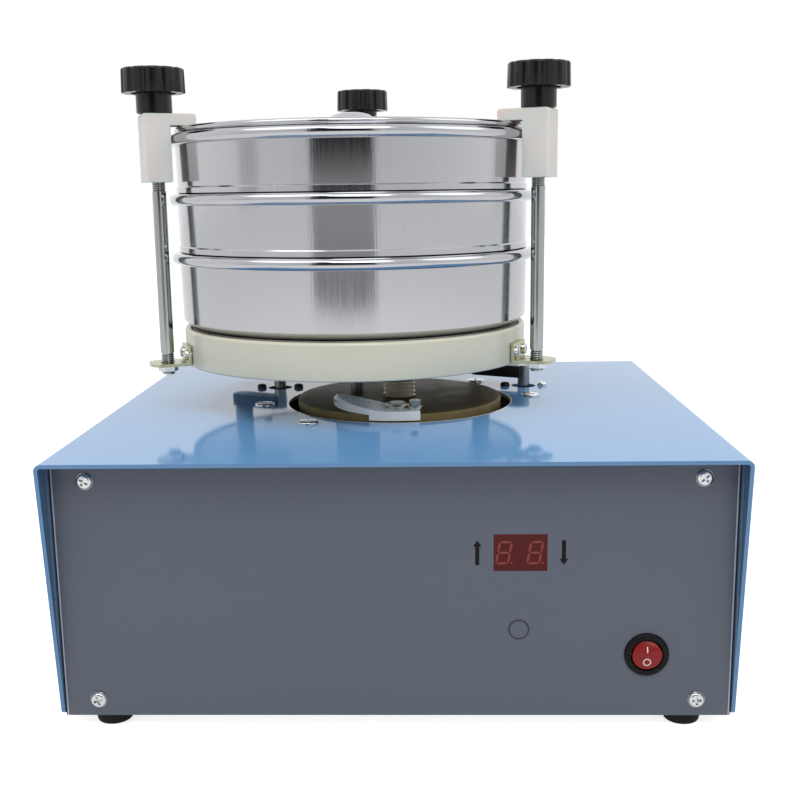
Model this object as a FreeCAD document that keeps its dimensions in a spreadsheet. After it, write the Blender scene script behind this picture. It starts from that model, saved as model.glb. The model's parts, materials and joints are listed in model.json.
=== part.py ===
import FreeCAD, Part
import math
import os

import Sketcher

# A bench-top grain sifter. A flat box holds a gear motor that turns a disc in the
# middle of its top. An eccentric pin on the disc and two parallel cranks carry a
# round tray in a level circle, and three threaded rods clamp a stack of sieves on it.
# The frame is +X to the right, +Y to the back and +Z up. The origin is on the floor,
# under the middle of the box. Lengths are millimetres and angles are degrees.

os.makedirs("parts", exist_ok=True)
doc = FreeCAD.newDocument("grain_sifter")
sheet = doc.addObject("Spreadsheet::Sheet", "Sizes")

# Driving dimensions
DRIVING = {
    # box
    "box_width": 350, "box_depth": 314, "cover_top": 145, "cover_bottom": 7,
    "cover_sheet": 2, "bend_radius": 3.4, "visor_depth": 15.2, "side_slant": 14,
    "corner_round": 3, "panel_sheet": 2, "panel_bottom": 6, "panel_gap": 0.3,
    "base_sheet": 1.5, "base_flange": 24, "post_side": 10,
    "vent_length": 26, "vent_width": 4, "vent_pitch": 9, "vent_count": 8,
    "vent_low": 44, "vent_high": 94,
    # feet and box screws
    "foot_inset": 25, "foot_front_inset": 25.4, "foot_radius": 10.2, "foot_tread": 8,
    "foot_edge": 1.3, "screw_radius": 2, "screw_head": 4.4, "screw_head_height": 2.4,
    "screw_length": 9, "screw_fit": 0.05, "panel_screw_inset": 20, "panel_screw_low": 15,
    "panel_screw_high": 132.8, "side_screw_spread": 90, "side_screw_level": 18,
    # front panel
    "window_inset": 110.7, "window_level": 94.2, "window_width": 27.2, "window_tall": 19.4,
    "window_sheet": 2.5, "module_width": 28, "module_tall": 21, "module_depth": 8,
    "key_spread": 21.8, "key_level": 94.2, "arrow_tall": 12.6, "arrow_head": 4,
    "arrow_neck": 2.8, "arrow_stem": 1.7, "key_gap": 0.15, "key_proud": 0.3,
    "key_flange": 5.8, "key_flange_sheet": 1, "key_stem": 1.5, "key_travel": 0.4,
    "run_inset": 111.3, "run_level": 53.2, "run_radius": 4.7,
    "board_width": 92, "board_tall": 66, "board_sheet": 1.6, "board_level": 77,
    "tact_side": 6, "chip_side": 10, "spacer_radius": 3,
    # power switch
    "switch_inset": 46, "switch_level": 39.6, "bezel_radius": 11.4, "bezel_proud": 2,
    "switch_body": 10, "switch_depth": 20, "well_radius": 8.4, "well_depth": 13,
    "rocker_radius": 7.5, "rocker_pivot_depth": 3, "rocker_pin": 1.2, "rocker_rise": 1.1,
    "rocker_ridge": 2.4, "rocker_heel": 5,
    # rear panel
    "inlet_inset": 55, "inlet_level": 40, "inlet_width": 27, "inlet_tall": 19.6,
    "inlet_depth": 20, "inlet_rim": 2, "inlet_well": 16, "inlet_wall": 1.6,
    "inlet_pin": 10, "fuse_step": 36, "fuse_radius": 6, "fuse_depth": 30,
    # drive under the cover
    "drive_back": 6, "bridge_turn": 30.85, "bridge_reach": 77.9, "bridge_half": 32,
    "bridge_margin": 5, "bridge_sheet": 6, "bridge_spacer": 15, "bridge_spacer_radius": 7,
    "bridge_screw": 3, "bridge_head": 6, "bridge_head_height": 1.3,
    "gearbox_side": 72, "gearbox_height": 38, "gearbox_round": 8,
    "motor_side": 66, "motor_height": 62, "motor_round": 14,
    "transformer_inset": 73, "transformer_back": -63, "transformer_width": 56,
    "transformer_depth": 46, "transformer_height": 36, "coil_width": 34, "coil_depth": 56,
    "coil_rise": 6, "coil_height": 38, "capacitor_inset": 61, "capacitor_back": -62,
    "capacitor_radius": 17, "capacitor_height": 66, "rib_height": 3, "rib_pitch": 9,
    "rib_low": 14, "rib_depth": 3,
    # turntable
    "disc_radius": 63.3, "disc_proud": 3.4, "disc_sheet": 11.4, "disc_edge": 0.8,
    "cover_hole": 69.5, "hub_radius": 20, "hub_height": 2.7, "spindle_radius": 10,
    "spindle_above": 12, "spindle_below": 32, "bearing_radius": 22, "running_fit": 0.05,
    "crank_radius": 31, "crank_turn": 153, "pin_radius": 4, "pin_above": 23,
    "weight_height": 8, "weight_flat": 2.2, "weight_slope_start": 52, "weight_slope_end": 8,
    "weight_edge": 4, "weight_left": 48.6, "weight_left_turn": 216.6, "weight_middle": 59,
    "weight_middle_turn": 240, "weight_overhang": 2.1, "weight_lip_turn": 256,
    "weight_lip_drop": 3.2, "weight_right_turn": 282, "weight_right_width": 23,
    "weight_left_width": 9.6, "weight_skew": 5.4, "weight_left_curve": 50,
    "weight_front_curve": 62, "weight_inner_curve": 110, "weight_pin_hole": 1.1,
    "weight_pin_across": 37.4, "weight_pin_level": 2, "weight_bolt_reach": 51,
    "weight_bolt_turn": 270, "small_bolt_reach": 56.8, "small_bolt_turn": 280.7,
    "bolt_radius": 3, "bolt_head": 5, "small_head": 3.4, "low_head_height": 1.6,
    "bolt_head_height": 3.6, "bolt_short": 3, "washer_radius": 7, "small_washer": 4.2,
    "washer_sheet": 1.4,
    # cranks
    "crank_inset": 24.6, "crank_back": 54.5, "crank_hole": 8, "arm_clear": 6,
    "arm_thick": 8, "arm_round": 7.5, "housing_screw_spread": 12.4, "housing_half": 9.5,
    "housing_flange": 12, "housing_boss": 10, "housing_boss_height": 2.6,
    "dome_radius": 3.2, "dome_height": 2.6,
    # table and tray ring
    "ring_step": 0.3, "ring_wall": 4, "ring_bottom": 172.3, "ring_top": 194,
    "ring_lip": 1.6, "ledge_level": 176, "ledge_thick": 4, "ledge_width": 10,
    "table_sheet": 3, "pivot_clear": 0.3, "boss_radius": 6, "boss_height": 13,
    "centre_boss": 14, "centre_boss_height": 11, "table_screw_inset": 9.4,
    # sieve stack
    "wall_sheet": 1.2, "wall_step": 1.8, "spigot_radius": 104.9, "spigot_depth": 10,
    "pan_foot_fit": 0.5, "pan_flare": 4.6, "pan_top": 239.5, "sieve_height": 34.6,
    "top_bead": 6.8, "top_bead_out": 4.9, "low_bead": 4.4, "low_bead_out": 0.7,
    "screen_sheet": 0.8, "lid_rim": 3.9, "lid_rise": 5.5, "lid_boss": 13.2,
    "lid_boss_height": 4, "round_hole": 3.4, "long_hole": 8, "hole_pitch": 24,
    "row_share": 0.866, "hole_margin": 12, "screen_fit": 0.2,
    # clamps
    "rod_gap": 12.3, "rod_radius": 4, "rod_clear": 0.25, "side_clamp_turn": 22,
    "rod_below": 5.5, "rod_top": 337, "leg_sheet": 1.8, "leg_gap": 0.3, "leg_width": 22,
    "leg_tall": 11.6, "leg_reach": 23, "leg_level": 173.5, "leg_screw_spread": 7.5,
    "leg_screw_level": 179.9, "leg_screw": 1.7, "leg_screw_head": 3.4,
    "leg_screw_head_height": 2, "nut_flats": 10.4, "nut_height": 3.6,
    "block_outside": 8.8, "block_inside": 7, "hook_reach": 9.5, "block_bottom": 281,
    "hook_height": 6.6, "block_width": 20, "block_round": 1.6, "lid_clear": 0.3,
    "knob_hub": 10.2, "knob_hub_height": 11.3, "knob_radius": 18.2, "knob_height": 13.8,
    "knob_wall": 3.2, "knob_top": 4, "knob_round": 3, "lobe_cut": 4.2, "lobe_count": 9,
    "knob_clear": 0.3,
}


class Dim:
    """A number that also knows how the sheet works it out."""

    def __init__(self, number, text):
        self.number = float(number)
        self.text = text

    def join(self, other, sign, number):
        return Dim(number, "(" + self.text + " " + sign + " " + text_of(other) + ")")

    def __add__(self, other):
        return self.join(other, "+", self.number + number_of(other))

    def __radd__(self, other):
        return as_dim(other) + self

    def __sub__(self, other):
        return self.join(other, "-", self.number - number_of(other))

    def __rsub__(self, other):
        return as_dim(other) - self

    def __mul__(self, other):
        return self.join(other, "*", self.number * number_of(other))

    def __rmul__(self, other):
        return as_dim(other) * self

    def __truediv__(self, other):
        return self.join(other, "/", self.number / number_of(other))

    def __neg__(self):
        return Dim(-self.number, "(0 - " + self.text + ")")


def number_of(value):
    return value.number if isinstance(value, Dim) else float(value)


def text_of(value):
    return value.text if isinstance(value, Dim) else repr(float(value))


def as_dim(value):
    return value if isinstance(value, Dim) else Dim(value, text_of(value))


def cosine(angle):
    return Dim(math.cos(math.radians(number_of(angle))), "cos(" + text_of(angle) + " * 1 deg)")


def sine(angle):
    return Dim(math.sin(math.radians(number_of(angle))), "sin(" + text_of(angle) + " * 1 deg)")


class Size:
    """Gives each driving dimension by its name."""

    def __getattr__(self, name):
        return Dim(DRIVING[name], "Sizes." + name)


for row, (alias, value) in enumerate(DRIVING.items(), start=1):
    cell = "A" + str(row)
    sheet.set(cell, str(value))
    sheet.setAlias(cell, alias)
doc.recompute()
size = Size()
nodes = {}


# Helpers that make, bind and place the objects of the document
def bind(thing, prop, value):
    if isinstance(value, Dim):
        thing.setExpression(prop, value.text)
    else:
        setattr(thing, prop, value)


def place(thing, x=0, y=0, z=0, turn=0, axis=(0, 0, 1)):
    """Puts an object at a point, turned by an angle about an axis through it."""
    base = FreeCAD.Vector(number_of(x), number_of(y), number_of(z))
    rotation = FreeCAD.Rotation(FreeCAD.Vector(*axis), number_of(turn))
    thing.Placement = FreeCAD.Placement(base, rotation)
    for letter, value in (("x", x), ("y", y), ("z", z)):
        if isinstance(value, Dim):
            thing.setExpression("Placement.Base." + letter, value.text)
    if isinstance(turn, Dim):
        thing.setExpression("Placement.Rotation.Angle", turn.text)
    return thing


def keep(thing, name):
    """Marks an object as a sub-part: its label is the name of its file."""
    thing.Label = name
    nodes[name] = thing
    return thing


def new_body(name):
    body = doc.addObject("PartDesign::Body", name)
    body.Label = name
    return body


def arc_between(start, end, radius):
    """The shorter arc from start to end, anticlockwise where the radius is positive."""
    half = (end - start) * 0.5
    side = FreeCAD.Vector(-half.y, half.x, 0)
    side.normalize()
    rise = math.sqrt(max(radius * radius - half.Length ** 2, 0))
    centre = start + half + side * (rise if radius > 0 else -rise)
    first, last = (start, end) if radius > 0 else (end, start)
    angles = [math.atan2(point.y - centre.y, point.x - centre.x) for point in (first, last)]
    circle = Part.Circle(centre, FreeCAD.Vector(0, 0, 1), abs(radius))
    return Part.ArcOfCircle(circle, angles[0], angles[1])


class Plan:
    """Collects the shapes and the rules of a sketch, which are then added together."""

    def __init__(self):
        self.shapes = []
        self.rules = []
        self.texts = {}

    def shape(self, geometry):
        self.shapes.append(geometry)
        return len(self.shapes) - 1

    def rule(self, constraint, text=None):
        if text is not None:
            self.texts[len(self.rules)] = text
        self.rules.append(constraint)

    def fix_point(self, shape, end, u, v):
        for kind, value in (("DistanceX", u), ("DistanceY", v)):
            text = value.text if isinstance(value, Dim) else None
            self.rule(Sketcher.Constraint(kind, -1, 1, shape, end, number_of(value)), text)

    def fix_radius(self, shape, radius):
        text = None
        if isinstance(radius, Dim):
            text = radius.text if radius.number > 0 else (-radius).text
        self.rule(Sketcher.Constraint("Radius", shape, abs(number_of(radius))), text)

    def outline(self, corners):
        """Adds one closed outline, with every corner bound."""
        points = [FreeCAD.Vector(number_of(c[0]), number_of(c[1]), 0) for c in corners]
        ends = []
        for index, corner in enumerate(corners):
            start = points[index - 1]
            if len(corner) == 3:
                radius = number_of(corner[2])
                shape = self.shape(arc_between(start, points[index], radius))
                ends.append((shape, 1, 2) if radius > 0 else (shape, 2, 1))
                self.fix_radius(shape, corner[2])
            else:
                ends.append((self.shape(Part.LineSegment(start, points[index])), 1, 2))
        for index, corner in enumerate(corners):
            shape, begin, finish = ends[index]
            before = ends[index - 1]
            self.rule(Sketcher.Constraint("Coincident", before[0], before[2], shape, begin))
            self.fix_point(shape, finish, corner[0], corner[1])

    def circle(self, u, v, radius):
        centre = FreeCAD.Vector(number_of(u), number_of(v), 0)
        shape = self.shape(Part.Circle(centre, FreeCAD.Vector(0, 0, 1), number_of(radius)))
        self.fix_point(shape, 3, u, v)
        self.fix_radius(shape, radius)


def draw(body, plane, outline=(), circles=(), more=()):
    """A sketch of closed outlines and circles, with every point bound.

    A corner is (u, v). A corner reached along an arc is (u, v, radius), where a
    positive radius turns anticlockwise.
    """
    sketch = body.newObject("Sketcher::SketchObject", body.Name + "_outline")
    planes = [item for item in body.Origin.OriginFeatures if item.Role == plane]
    sketch.AttachmentSupport = [(planes[0], "")]
    sketch.MapMode = "FlatFace"
    plan = Plan()
    for corners in [outline] + list(more):
        plan.outline(corners)
    for u, v, radius in circles:
        plan.circle(u, v, radius)
    sketch.addGeometry(plan.shapes, False)
    sketch.addConstraint(plan.rules)
    for index, text in plan.texts.items():
        sketch.setExpression("Constraints[" + str(index) + "]", text)
    return sketch


def rectangle(u0, v0, u1, v1):
    return [(u0, v0), (u1, v0), (u1, v1), (u0, v1)]


def round_rectangle(half_u, half_v, radius):
    """A rectangle about the origin with round corners."""
    return [
        (half_u - radius, -half_v), (half_u, radius - half_v, radius),
        (half_u, half_v - radius), (half_u - radius, half_v, radius),
        (radius - half_u, half_v), (-half_u, half_v - radius, radius),
        (-half_u, radius - half_v), (radius - half_u, -half_v, radius),
    ]


def slot(reach, radius):
    """An oblong from the origin to a reach along u, with round ends."""
    return [
        (reach, -radius), (reach + radius, 0, radius), (reach, radius, radius),
        (0, radius), (-radius, 0, radius), (0, -radius, radius),
    ]


def pad(body, sketch, length, both_ways=False, backwards=False):
    feature = body.newObject("PartDesign::Pad", body.Name + "_pad")
    feature.Profile = sketch
    bind(feature, "Length", length)
    feature.Midplane = both_ways
    feature.Reversed = backwards
    return feature


def pocket(body, sketch, length=None, both_ways=False, backwards=False):
    """Cuts a sketch out of a body and makes sure that something was cut."""
    body.recompute(True)
    before = body.Shape.Volume
    feature = body.newObject("PartDesign::Pocket", body.Name + "_pocket")
    feature.Profile = sketch
    if length is None:
        feature.Type = 1
    else:
        bind(feature, "Length", length)
    feature.Midplane = both_ways
    feature.Reversed = backwards
    body.recompute(True)
    if not body.Shape.Volume < before - 0.01:
        raise ValueError("nothing was cut from " + body.Label)
    return feature


def revolve(body, outline):
    """Turns an outline in the XZ plane a full turn about the body's own Z axis."""
    sketch = draw(body, "XZ_Plane", outline)
    feature = body.newObject("PartDesign::Revolution", body.Name + "_turned")
    feature.Profile = sketch
    feature.ReferenceAxis = (sketch, ["V_Axis"])
    feature.Angle = 360
    return feature


def round_edges(body, radius, wanted):
    """Rounds the edges of a body that the test picks."""
    body.recompute(True)
    base = body.Tip
    edges = enumerate(base.Shape.Edges, start=1)
    names = ["Edge" + str(number) for number, edge in edges if wanted(edge)]
    feature = body.newObject("PartDesign::Fillet", body.Name + "_round")
    feature.Base = (base, names)
    bind(feature, "Radius", radius)
    return feature


def runs_along(edge, axis):
    if not isinstance(edge.Curve, Part.Line):
        return False
    return abs(edge.Curve.Direction.dot(FreeCAD.Vector(*axis))) > 0.999


def box(name, x0, y0, z0, length, width, height):
    thing = doc.addObject("Part::Box", name)
    for prop, value in (("Length", length), ("Width", width), ("Height", height)):
        bind(thing, prop, value)
    return place(thing, x0, y0, z0)


def cylinder(name, radius, height, x=0, y=0, z=0, turn=0, axis=(0, 0, 1)):
    thing = doc.addObject("Part::Cylinder", name)
    bind(thing, "Radius", radius)
    bind(thing, "Height", height)
    return place(thing, x, y, z, turn, axis)


def fuse(name, things):
    joined = doc.addObject("Part::MultiFuse", name)
    joined.Shapes = things
    return joined


def cut(name, base, tools):
    result = doc.addObject("Part::Cut", name)
    result.Base = base
    result.Tool = tools[0] if len(tools) == 1 else fuse(name + "_tools", tools)
    return result


def group(name, things):
    """Several like pieces that share one node as separate solids."""
    bundle = doc.addObject("Part::Compound", name)
    bundle.Links = things
    return keep(bundle, name)


def screw_body(name, head, head_height, shank, length):
    """A round-headed screw that points down, with its seat at its own origin."""
    body = new_body(name)
    crown = head - head_height * 0.6
    revolve(body, [
        (0, -length), (shank, -length), (shank, 0), (head, 0),
        (head, head_height * 0.4), (crown, head_height, head_height * 0.75), (0, head_height),
    ])
    return body


# Where the main parts meet
half_width = size.box_width / 2
half_depth = size.box_depth / 2
panel_front = half_depth - size.visor_depth
panel_back = panel_front - size.panel_sheet
cover_under = size.cover_top - size.cover_sheet
base_top = size.panel_bottom + size.base_sheet
table_x = size.crank_radius * cosine(size.crank_turn)
table_y = size.drive_back + size.crank_radius * sine(size.crank_turn)
disc_top = size.cover_top + size.disc_proud
disc_bottom = disc_top - size.disc_sheet
sieve_one = size.pan_top
sieve_two = sieve_one + size.sieve_height
stack_top = sieve_two + size.sieve_height
lid_top = stack_top + size.lid_rim
bridge_top = cover_under - size.bridge_spacer
table_under = size.ledge_level - size.table_sheet
window_across = half_width - size.window_inset
run_across = half_width - size.run_inset
switch_across = half_width - size.switch_inset
inlet_across = half_width - size.inlet_inset
fuse_across = inlet_across - size.fuse_step
transformer_across = half_width - size.transformer_inset
capacitor_across = half_width - size.capacitor_inset
wall_radius = size.spigot_radius + size.wall_step
ring_radius = wall_radius - size.ring_step
pan_foot = ring_radius - size.ring_wall - size.pan_foot_fit
table_screw_ring = ring_radius - size.table_screw_inset
crank_spread = ring_radius - size.crank_inset
rod_circle = wall_radius + size.rod_gap
block_outer = rod_circle + size.block_outside
block_inner = rod_circle - size.block_inside
hook_inner = wall_radius - size.hook_reach
weight_right = size.disc_radius + size.weight_overhang
arm_bottom = size.cover_top + size.arm_clear
arm_top = arm_bottom + size.arm_thick
panel_screw_x = half_width - size.panel_screw_inset
crank_sides = (("left", -1), ("right", 1))
clamps = (("left", 180 + size.side_clamp_turn), ("right", -size.side_clamp_turn), ("back", as_dim(90)))


# Box
def make_cover():
    """One folded sheet: the top and both sides, open at the front and the back."""
    body = new_body("top_cover")
    outer = size.bend_radius
    inner = size.bend_radius - size.cover_sheet
    inside = half_width - size.cover_sheet
    shoulder = half_width - outer
    level = size.cover_top - outer
    outline = [
        (half_width, size.cover_bottom), (half_width, level), (shoulder, size.cover_top, outer),
        (-shoulder, size.cover_top), (-half_width, level, outer), (-half_width, size.cover_bottom),
        (-inside, size.cover_bottom), (-inside, level), (-shoulder, cover_under, -inner),
        (shoulder, cover_under), (inside, level, -inner), (inside, size.cover_bottom),
    ]
    pad(body, draw(body, "XZ_Plane", outline), size.box_depth, both_ways=True)
    for side in (-1, 1):
        edge = half_depth * side
        slant = [
            (edge * 1.01, size.cover_bottom - 1), (edge * 1.01, level),
            (edge, level), (edge - size.side_slant * side, size.cover_bottom),
            (edge - size.side_slant * side, size.cover_bottom - 1),
        ]
        pocket(body, draw(body, "YZ_Plane", slant), both_ways=True)
    low = number_of(size.cover_bottom)
    round_edges(body, size.corner_round, lambda edge: runs_along(edge, (1, 0, 0))
                and abs(edge.CenterOfMass.z - low) < 0.01)
    holes = [(0, size.drive_back, size.cover_hole)]
    holes += [(crank_spread * side, size.crank_back, size.crank_hole) for _, side in crank_sides]
    holes += [(x, y, size.bridge_screw + size.screw_fit) for x, y in bridge_corners()]
    holes += [(x, y, size.screw_radius + 0.3) for x, y in housing_screws()]
    pocket(body, draw(body, "XY_Plane", circles=holes), backwards=True)
    side_holes = [(size.side_screw_spread * side, size.side_screw_level, size.screw_radius + size.screw_fit)
                  for side in (-1, 1)]
    pocket(body, draw(body, "YZ_Plane", circles=side_holes), both_ways=True)
    keep(body, "top_cover")


def bridge_corners():
    """The four screws of the motor bridge, on a rectangle turned about the drive axis."""
    corners = []
    for along, across in ((-1, -1), (1, -1), (1, 1), (-1, 1)):
        x = (size.bridge_reach * cosine(size.bridge_turn) * along
             - size.bridge_half * sine(size.bridge_turn) * across)
        y = (size.bridge_reach * sine(size.bridge_turn) * along
             + size.bridge_half * cosine(size.bridge_turn) * across)
        corners.append((x, y + size.drive_back))
    return corners


def housing_screws():
    return [(crank_spread * side + size.housing_screw_spread * step, size.crank_back)
            for _, side in crank_sides for step in (-1, 1)]


def make_base():
    """A tray between the two panels, whose side flanges back the cover's sides."""
    body = new_body("base_plate")
    inside = half_width - size.cover_sheet
    wall = inside - size.base_sheet
    top = size.panel_bottom + size.base_flange
    outline = [
        (-inside, size.panel_bottom), (inside, size.panel_bottom), (inside, top), (wall, top),
        (wall, base_top), (-wall, base_top), (-wall, top), (-inside, top),
    ]
    pad(body, draw(body, "XZ_Plane", outline), panel_back * 2, both_ways=True)
    holes = [(x, y, size.screw_radius + size.screw_fit) for x, y in foot_places()]
    pocket(body, draw(body, "XY_Plane", circles=holes), backwards=True)
    side_holes = [(size.side_screw_spread * side, size.side_screw_level, size.screw_radius + size.screw_fit)
                  for side in (-1, 1)]
    pocket(body, draw(body, "YZ_Plane", circles=side_holes), both_ways=True)
    keep(body, "base_plate")


def foot_places():
    x = half_width - size.foot_inset
    y = half_depth - size.foot_front_inset
    return [(x * side, y * end) for side in (-1, 1) for end in (-1, 1)]


def make_feet():
    feet = []
    screws = []
    recess = size.screw_head + 0.4
    for index, (x, y) in enumerate(foot_places()):
        foot = new_body("foot_" + str(index))
        revolve(foot, [
            (recess, 0), (size.foot_tread, 0),
            (size.foot_tread + size.foot_edge, size.foot_edge, size.foot_edge),
            (size.foot_radius, size.panel_bottom), (size.screw_radius + size.screw_fit, size.panel_bottom),
            (size.screw_radius + size.screw_fit, size.panel_bottom / 2), (recess, size.panel_bottom / 2),
        ])
        feet.append(place(foot, x, y, 0))
        screw = screw_body("foot_screw_" + str(index), size.screw_head, size.screw_head_height,
                           size.screw_radius, size.panel_bottom / 2 + size.base_sheet)
        screws.append(place(screw, x, y, size.panel_bottom / 2, 180, (1, 0, 0)))
    group("feet", feet)
    group("foot_screws", screws)


def make_posts():
    """Square bars in the corners that the panels are screwed to."""
    posts = []
    for side in (-1, 1):
        for end in (-1, 1):
            name = "post_" + str(len(posts))
            centre = (panel_back - size.post_side / 2) * end
            bar = box(name, panel_screw_x * side - size.post_side / 2, centre - size.post_side / 2,
                      base_top, size.post_side, size.post_side, cover_under - base_top)
            drills = []
            for step, level in enumerate((size.panel_screw_low, size.panel_screw_high)):
                drills.append(cylinder(name + "_drill_" + str(step), size.screw_radius + size.screw_fit,
                                       size.post_side * 2, panel_screw_x * side,
                                       centre + size.post_side, level, 90, (1, 0, 0)))
            posts.append(cut(name + "_bored", bar, drills))
    group("corner_posts", posts)


def make_box_screws():
    screws = []
    for end, turn in ((-1, 90), (1, -90)):
        for side in (-1, 1):
            for level in (size.panel_screw_low, size.panel_screw_high):
                screw = screw_body("panel_screw_" + str(len(screws)), size.screw_head,
                                   size.screw_head_height, size.screw_radius, size.screw_length)
                screws.append(place(screw, panel_screw_x * side, panel_front * end, level, turn, (1, 0, 0)))
    for side in (-1, 1):
        for end in (-1, 1):
            screw = screw_body("side_screw_" + str(len(screws)), size.screw_head,
                               size.screw_head_height, size.screw_radius, size.screw_length)
            screws.append(place(screw, half_width * side, size.side_screw_spread * end,
                                size.side_screw_level, 90 * side, (0, 1, 0)))
    group("box_screws", screws)


def panel_outline():
    """The outline of a panel, with its upper corners cut to clear the cover's bend."""
    wide = half_width - size.cover_sheet - size.panel_gap
    corner = size.bend_radius - size.cover_sheet + size.panel_gap
    return [(-wide, size.panel_bottom), (wide, size.panel_bottom), (wide, cover_under - corner),
            (wide - corner, cover_under), (corner - wide, cover_under), (-wide, cover_under - corner)]


def panel_body(name, end):
    """A sheet between the base and the cover, with a hole for each corner screw."""
    body = new_body(name)
    holes = [(panel_screw_x * side, level, size.screw_radius + size.screw_fit)
             for side in (-1, 1) for level in (size.panel_screw_low, size.panel_screw_high)]
    pad(body, draw(body, "XZ_Plane", panel_outline(), holes), size.panel_sheet, both_ways=True)
    return place(body, 0, (panel_front + panel_back) / 2 * end, 0)


def arrow(centre_u, centre_v, up, grow=0):
    """A plain arrow of one height, pointing up or down, grown all round by a gap."""
    tall = size.arrow_tall / 2 + grow
    head = size.arrow_head / 2 + grow
    stem = size.arrow_stem / 2 + grow
    neck = size.arrow_tall / 2 - size.arrow_neck - grow
    points = [(-stem, -tall), (stem, -tall), (stem, neck), (head, neck), (0, tall), (-head, neck), (-stem, neck)]
    return [(centre_u + u * up, centre_v + v * up) for u, v in points]


arrow_keys = (("up_key", window_across - size.key_spread, 1),
              ("down_key", window_across + size.key_spread, -1))


def make_front_panel():
    body = panel_body("front_panel", -1)
    half_w = size.window_width / 2
    half_t = size.window_tall / 2
    window = rectangle(window_across - half_w, size.window_level - half_t,
                       window_across + half_w, size.window_level + half_t)
    pocket(body, draw(body, "XZ_Plane", window), both_ways=True)
    for _, across, up in arrow_keys:
        opening = arrow(across, size.key_level, up, size.key_gap)
        pocket(body, draw(body, "XZ_Plane", opening), both_ways=True)
    rounds = [(run_across, size.run_level, size.run_radius + size.key_gap),
              (switch_across, size.switch_level, size.switch_body + size.screw_fit)]
    pocket(body, draw(body, "XZ_Plane", circles=rounds), both_ways=True)
    keep(body, "front_panel")


def make_rear_panel():
    body = panel_body("rear_panel", 1)
    half_w = size.inlet_width / 2 + size.screw_fit
    half_t = size.inlet_tall / 2 + size.screw_fit
    inlet = rectangle(-inlet_across - half_w, size.inlet_level - half_t,
                      -inlet_across + half_w, size.inlet_level + half_t)
    pocket(body, draw(body, "XZ_Plane", inlet), both_ways=True)
    fuse_hole = [(-fuse_across, size.inlet_level, size.fuse_radius + size.screw_fit)]
    pocket(body, draw(body, "XZ_Plane", circles=fuse_hole), both_ways=True)
    first = size.vent_pitch * (size.vent_count - 1) / 2
    vents = [rectangle(-first - size.vent_width / 2, level - size.vent_length / 2,
                       size.vent_width / 2 - first, level + size.vent_length / 2)
             for level in (size.vent_low, size.vent_high)]
    slots = pocket(body, draw(body, "XZ_Plane", more=vents), both_ways=True)
    row = body.newObject("PartDesign::LinearPattern", "vent_row")
    row.Originals = [slots]
    row.Direction = (slots.Profile[0], ["H_Axis"])
    row.setExpression("Length", (first * 2).text)
    row.setExpression("Occurrences", size.vent_count.text)
    body.Tip = row
    keep(body, "rear_panel")


def make_display():
    half_w = size.window_width / 2
    half_t = size.window_tall / 2
    window = box("display_window", window_across - half_w, -panel_front, size.window_level - half_t,
                 size.window_width, size.window_sheet, size.window_tall)
    keep(window, "display_window")
    module = box("display_module", window_across - size.module_width / 2,
                 size.window_sheet - panel_front, size.window_level - size.module_tall / 2,
                 size.module_width, size.module_depth, size.module_tall)
    keep(module, "display_module")


board_front = size.window_sheet + size.module_depth - panel_front


def make_key(name, across, level, outline, circles, flange):
    """A key that fills its opening, with a flange and a stem behind the panel."""
    face = new_body(name + "_face")
    pad(face, draw(face, "XZ_Plane", outline, circles), size.panel_sheet + size.key_proud, backwards=True)
    place(face, 0, -panel_front - size.key_proud, 0)
    plate = cylinder(name + "_flange", flange, size.key_flange_sheet, across, -panel_back, level,
                     -90, (1, 0, 0))
    reach = board_front - size.tact_side * 0.6 - size.key_travel + panel_back
    stem = cylinder(name + "_stem", size.key_stem, reach, across, -panel_back, level, -90, (1, 0, 0))
    keep(fuse(name, [face, plate, stem]), name)


def make_keys():
    for name, across, up in arrow_keys:
        make_key(name, across, size.key_level, arrow(across, size.key_level, up), (), size.key_flange)
    circle = [(run_across, size.run_level, size.run_radius)]
    make_key("run_key", run_across, size.run_level, (), circle, size.run_radius + 1.2)


def make_board():
    """The control board behind the front panel, with the switch under each key."""
    left = window_across - size.board_width / 2
    low = size.board_level - size.board_tall / 2
    parts = [box("board_sheet", left, board_front, low, size.board_width, size.board_sheet, size.board_tall)]
    keys = [(across, size.key_level) for _, across, _ in arrow_keys] + [(run_across, size.run_level)]
    for index, (across, level) in enumerate(keys):
        tall = size.tact_side * 0.6
        parts.append(box("tact_" + str(index), across - size.tact_side / 2, board_front - tall,
                         level - size.tact_side / 2, size.tact_side, tall, size.tact_side))
    back = board_front + size.board_sheet
    for index, (u, v, wide, deep) in enumerate(((-30, 12, 18, 3), (4, -6, 24, 4), (30, 16, 10, 12), (-26, -20, 14, 14))):
        parts.append(box("chip_" + str(index), window_across + u - wide / 2, back,
                         size.board_level + v - size.chip_side / 2, wide, deep, size.chip_side))
    keep(fuse("control_board", parts), "control_board")
    spacers = []
    for side in (-1, 1):
        for end in (-1, 1):
            x = window_across + (size.board_width / 2 - size.spacer_radius * 1.5) * side
            z = size.board_level + (size.board_tall / 2 - size.spacer_radius * 1.5) * end
            spacers.append(cylinder("spacer_" + str(len(spacers)), size.spacer_radius,
                                    board_front + panel_back, x, -panel_back, z, -90, (1, 0, 0)))
    group("board_spacers", spacers)


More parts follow.
